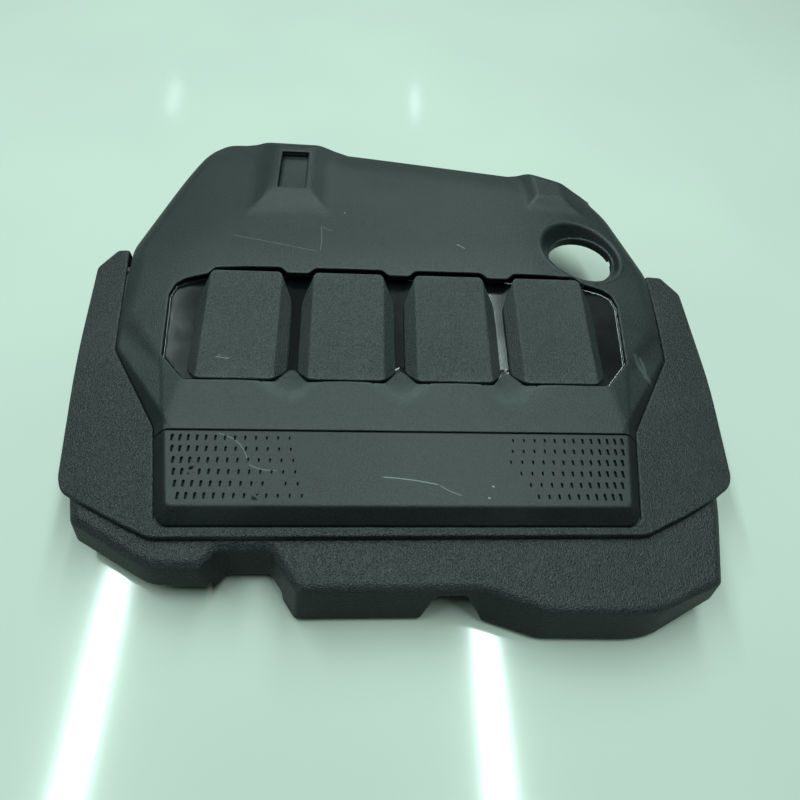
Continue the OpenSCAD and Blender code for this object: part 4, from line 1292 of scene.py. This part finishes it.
def moulding(name, tone, roughness, scale, depth, wear_and_highlight, dust, marks=(), shine=0.5, mottle=0.4):
    """A grained plastic with scuffed rims that also carry a painted highlight, dust and its own
    scratches.
    """
    mat, t, shader = material(name)
    grain = {"Scale": scale, "Depth": depth, "Wave": PLASTIC_WAVE}
    uneven = stretched(t, use(t, GRAIN, "Tone", **grain), 0.35, 0.65)
    color = mixed(t, uneven, [c * (1 - mottle) for c in tone], [c * (1 + mottle) for c in tone])
    worn_and_highlit = use(t, RIM_WEAR_AND_HIGHLIGHT, "Mask", Amount=wear_and_highlight)
    # lighter rims: partly scuffs, partly a painted highlight of the sheen on rounded edges
    color = mixed(t, worn_and_highlit, color, [c * 2.6 + 0.012 for c in tone])
    film = use(t, DUST, "Mask", Amount=dust, Specks=0.0)
    color = mixed(t, t.math("MULTIPLY", film, DUST_COVER), color, DUST_TONE)
    rough = mixed(t, film, roughness, min(roughness + 0.18, 1), "FLOAT")
    rough = mixed(t, worn_and_highlit, rough, roughness - 0.08, "FLOAT")
    mask = None
    for x0, y0, x1, y1, width, bow, strength in marks:
        one = use(t, SCRATCH, "Mask", Start=(x0, y0, 0), End=(x1, y1, 0), Width=width, Bow=bow)
        one = t.math("MULTIPLY", one, strength)
        mask = one if mask is None else t.math("MAXIMUM", mask, one)
    if mask is not None:
        color = mixed(t, mask, color, SCRATCH_TONE)
        rough = mixed(t, mask, rough, SCRATCH_ROUGH, "FLOAT")
    dressed(t, shader, color, rough, use(t, GRAIN, "Normal", **grain))
    # steep walls get less sheen: partly their open grain, partly painted shade that keeps them dark
    rise = t.add("ShaderNodeAttribute", attribute_name="rise", attribute_type="GEOMETRY")
    open_grain_and_shade = stretched(t, rise.outputs["Fac"], 0.2, 0.8, 0.22, 1.0)
    t.give(shader.inputs["Specular IOR Level"], t.math("MULTIPLY", open_grain_and_shade, shine))
    return mat


# scratches in metres: start, end, width, bow and strength
DECK_MARKS = [
    (-0.1529, 0.0884, -0.0701, 0.0677, 0.0005, 0.001, 0.35),
    (-0.0701, 0.0677, -0.0706, 0.1017, 0.0005, 0.001, 0.4),
    (-0.0706, 0.1017, -0.0604, 0.095, 0.0005, 0.0, 0.3),
    (0.0539, 0.0831, 0.0614, 0.0773, 0.0008, 0.0, 0.6),
    (-0.0503, 0.1226, -0.0483, 0.1228, 0.0009, 0.0, 0.8),
    (0.2031, -0.0251, 0.2145, -0.0539, 0.0030, 0.002, 0.16),
    (0.2080, -0.0271, 0.2085, -0.0500, 0.0022, -0.002, 0.2)]
PANEL_MARKS = [
    (-0.1389, -0.1102, -0.1132, -0.136, 0.0005, -0.006, 0.45),
    (-0.1132, -0.136, -0.0913, -0.1407, 0.0005, 0.002, 0.45),
    (-0.0168, -0.1458, 0.0258, -0.152, 0.0006, -0.001, 0.7),
    (0.0258, -0.152, 0.0419, -0.1602, 0.0005, 0.001, 0.5),
    (0.0642, -0.1525, 0.0662, -0.1535, 0.0008, 0.0, 0.9),
    (0.0603, -0.1621, 0.0622, -0.1622, 0.0008, 0.0, 0.9)]
PAD_MARKS = [
    (-0.1488, -0.0426, -0.1368, -0.0442, 0.0006, 0.0006, 0.6),
    (-0.1468, -0.0416, -0.1438, -0.0420, 0.0005, 0.0, 0.5)]

deck_plastic = moulding("deck plastic", (0.0158, 0.0226, 0.0217), 0.46, 1100.0, 0.0003, 0.5, 0.35,
                        DECK_MARKS, shine=0.44)
frame_plastic = moulding("frame plastic", (0.013, 0.018, 0.018), 0.49, 1000.0, 0.0009, 0.5, 0.3,
                         mottle=0.55)
skirt_plastic = moulding("skirt plastic", (0.0105, 0.0155, 0.0162), 0.44, 1000.0, 0.0008, 0.5, 0.3,
                         mottle=0.55)
panel_plastic = moulding("panel plastic", (0.0122, 0.0167, 0.0167), 0.45, 1300.0, 0.00016, 0.5,
                         0.35, PANEL_MARKS, shine=0.43)
pad_plastic = moulding("pad plastic", (0.021, 0.028, 0.028), 0.50, 1050.0, 0.00075, 0.9, 0.4,
                       PAD_MARKS, mottle=0.5)


def gloss():
    mat, t, shader = material("gloss black")
    film = use(t, DUST, "Mask", Amount=0.5, Specks=0.6)
    dressed(t, shader, mixed(t, t.math("MULTIPLY", film, 0.12), (0.004, 0.005, 0.0055),
                             (0.1, 0.11, 0.11)), mixed(t, film, 0.12, 0.3, "FLOAT"),
            use(t, GRAIN, "Normal", Scale=700.0, Depth=0.000002, Wave=0.00008))
    return mat


def rubber():
    mat, t, shader = material("socket rubber")
    bloom = stretched(t, noise(t, "bloom", 180.0, 4.0, 0.6), 0.4, 0.75)
    dressed(t, shader, mixed(t, bloom, (0.012, 0.012, 0.012), (0.03, 0.03, 0.029)),
            mixed(t, bloom, 0.62, 0.8, "FLOAT"),
            use(t, GRAIN, "Normal", Scale=1800.0, Depth=0.00001, Wave=0.00004))
    return mat


def foam_material():
    mat, t, shader = material("foam")
    deep = stretched(t, cells(t, "open cells", 650.0)["Distance"], 0.15, 0.6)
    dressed(t, shader, mixed(t, deep, (0.018, 0.018, 0.019), (0.075, 0.076, 0.078)), 0.95,
            bumped(t, "cells", deep, 0.0008))
    return mat


def steel():
    mat, t, shader = material("nut steel")
    shade = stretched(t, noise(t, "rolling marks", 900.0, 5.0, 0.7), 0.3, 0.7)
    dressed(t, shader, mixed(t, shade, (0.30, 0.30, 0.29), (0.46, 0.46, 0.45)),
            mixed(t, shade, 0.28, 0.42, "FLOAT"))
    t.give(shader.inputs["Metallic"], 1.0)
    return mat


def floor_material():
    mat, t, shader = material("table top")
    cloud = stretched(t, noise(t, "clouds", 3.0, 2.0, 0.5), 0.35, 0.65)
    dressed(t, shader, mixed(t, cloud, (0.61, 0.665, 0.60), (0.63, 0.69, 0.62)), 0.09)
    return mat


gloss_black, socket_rubber, foam, nut_steel = gloss(), rubber(), foam_material(), steel()


# ---- the pieces ----

def placed(obj, node, slot, mat):
    if mat.name not in [m.name for m in obj.data.materials if m]:
        obj.data.materials.clear()
        obj.data.materials.append(mat)
    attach(obj, "root")
    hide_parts(node)
    return obj


for name, field, low, high, step, most, node, slot, mat in (
        ("cover_moulding", main_cover_field, (-255, -176, 1.5), (255, 255, 95), 1.3, 190000,
         "main_cover", "deck_plastic", deck_plastic),
        ("frame_moulding", side_frame_field, (-277, -182, 24.5), (277, 108, 57.5), 1.2, 120000,
         "side_frame", "frame_plastic", frame_plastic),
        ("skirt_moulding", front_skirt_field, (-253, -240, 4.5), (251, -138, 52.5), 1.2, 110000,
         "front_skirt", "skirt_plastic", skirt_plastic),
        ("insert_moulding", insert_field, (-212, -72, 58.5), (212, 72, 88), 1.1, 110000,
         "gloss_insert", "gloss_black", gloss_black)):
    placed(moulded(name, field, low, high, step, most), node, slot, mat)
for i, x in enumerate(PAD_X):
    pad = moulded(f"pad_moulding_{i + 1}", pad_field(i), (x - 41, -56, 60), (x + 41, 54, 87), 0.8,
                  24000)
    placed(pad, f"pad_{i + 1}", "pad_plastic", pad_plastic)
acoustic_mat = placed(
    moulded("foam_mat", mat_field, (-219, 79, 51.5), (129, 223, 80.5), 1.6, 40000),
    "acoustic_mat", "foam", foam)


def perforated():
    """The panel's skin, cut by the slots, with its normals from the field where the face agrees."""
    skin_of_panel = moulded("panel_skin", panel_field, (-190, -172, 52), (190, -98, 70), 0.9, 26000)
    points = perforation_points()
    obj = run_tree(skin_of_panel, perforation_tree(panel_plastic), {"Points": points},
                   "panel_moulding")
    bpy.data.objects.remove(points)
    mesh = obj.data
    g = normals_of(panel_field, points_of(mesh))
    # the cut leaves its new points without these
    store(mesh, "rise", g[:, 2])
    store(mesh, "rim", np.zeros(len(g)))
    corner = np.empty(len(mesh.loops), np.int32)
    mesh.loops.foreach_get("vertex_index", corner)
    total = np.empty(len(mesh.polygons), np.int32)
    mesh.polygons.foreach_get("loop_total", total)
    face = np.empty(len(mesh.polygons) * 3, np.float32)
    mesh.polygons.foreach_get("normal", face)
    face = np.repeat(face.reshape(-1, 3), total, 0)
    smooth = g[corner]
    fits = (smooth * face).sum(1) > 0.8
    mesh.polygons.foreach_set("use_smooth", np.ones(len(mesh.polygons), bool))
    mesh.normals_split_custom_set(np.where(fits[:, None], smooth, face).astype(np.float32))
    return obj


placed(perforated(), "perforated_panel", "panel_plastic", panel_plastic)

for node, place in zip(("front_left", "front_right", "rear_left", "rear_right"), SOCKETS):
    placed(rubber_socket(f"rubber_{node}", place), f"socket_{node}",
           "socket_rubber", socket_rubber)

nut_tree = push_nut_tree(nut_steel)
nut_sizes = {"Radius": NUT_R * MM, "Bore": (PIN_R + 0.05) * MM, "Sheet": 0.4 * MM,
             "Lift": 0.3 * MM, "Fingers": 6}
for kind, seats, depth in (
        ("frame", level(frame_pins, FLOOR_Z), 0),
        ("skirt", level(skirt_pins, FLOOR_Z - FLANGE), 0),
        ("panel", level(panel_pins, PANEL_TOP - SEAM - 2 * WALL), 0),
        ("insert", insert_pins, WALL + LINER),
        ("pad", [seat for seats in pad_pins for seat in seats], RECESS + LINER),
        ("mat", mat_pins, WALL + RIB_DEPTH + FOAM_T)):
    nuts = run_tree(seats_object(f"{kind} nut seats", seats, depth + NUT_T), nut_tree, nut_sizes,
                    f"nuts_{kind}")
    placed(nuts, f"{kind}_push_nuts", "nut_steel", nut_steel)


# ---- floor, light and camera ----

HALF_TABLE = 4.0
plate = bpy.data.meshes.new("table")
plate.from_pydata([(x * HALF_TABLE, y * HALF_TABLE, 0) for x, y in
                   ((-1, -1), (1, -1), (1, 1), (-1, 1))], [], [(0, 1, 2, 3)])
table = linked("table", plate)
table.data.materials.append(floor_material())

# two rows of tube lamps above the table, two far ones, and the dim ceiling that they light
TINT = (0.78, 1.0, 0.95)
CEILING = 2.4
TUBE, SHORT_TUBE, FAR_TUBE = (0.09, 1.45), (0.09, 1.1), (0.08, 0.45)
NEAR, FAR = 58.0, 3.0
for name, x, y, size, radiance in (
        ("tube_left_1", -1.13, 0.0, TUBE, NEAR), ("tube_left_2", -1.18, 1.5, TUBE, NEAR),
        ("tube_right_1", 0.56, -0.1, TUBE, NEAR), ("tube_right_2", 0.54, 1.4, TUBE, NEAR),
        ("tube_right_3", 0.52, 2.75, SHORT_TUBE, NEAR),
        ("tube_far_left", -1.6, 4.6, FAR_TUBE, FAR), ("tube_far_right", 0.42, 4.7, FAR_TUBE, FAR),
        ("ceiling", 0.0, 2.0, (9.0, 6.0), 0.1)):
    lamp = bpy.data.lights.new(name, "AREA")
    lamp.shape = "RECTANGLE"
    lamp.size, lamp.size_y = size
    lamp.energy = radiance * math.pi * size[0] * size[1]
    lamp.color = TINT
    obj = linked(name, lamp)
    obj.location = (x, y, CEILING + 0.1 * (name == "ceiling"))
    obj.rotation_euler = Vector((0, 0, -1)).to_track_quat("-Z", "Y").to_euler()

world = bpy.data.worlds.new("room")
bpy.context.scene.world = world
world.use_nodes = True
room = next(n for n in world.node_tree.nodes if n.type == "BACKGROUND")
room.inputs["Color"].default_value = (*TINT, 1)
room.inputs["Strength"].default_value = 0.045

YAW, PITCH, ROLL, FOCUS = -0.12339, 0.97254, 0.11726, 603.63
CAMERA_AT = (-0.0343, -0.34505, 0.4638)
IMAGE_WIDTH, SENSOR = 800, 36
forward = Vector((-math.sin(YAW) * math.cos(PITCH), math.cos(YAW) * math.cos(PITCH),
                  -math.sin(PITCH)))
level_right = Vector((math.cos(YAW), math.sin(YAW), 0))
level_up = level_right.cross(forward)
right = level_right * math.cos(ROLL) + level_up * math.sin(ROLL)
up = level_up * math.cos(ROLL) - level_right * math.sin(ROLL)
lens = bpy.data.cameras.new("camera")
lens.sensor_width = SENSOR
lens.lens = FOCUS / IMAGE_WIDTH * SENSOR
lens.clip_start = 0.01
camera = linked("camera", lens)
axes = Matrix((right, up, -forward)).transposed().to_4x4()
camera.matrix_world = Matrix.Translation(CAMERA_AT) @ axes
bpy.context.scene.camera = camera
bpy.context.scene.view_settings.view_transform = "Standard"
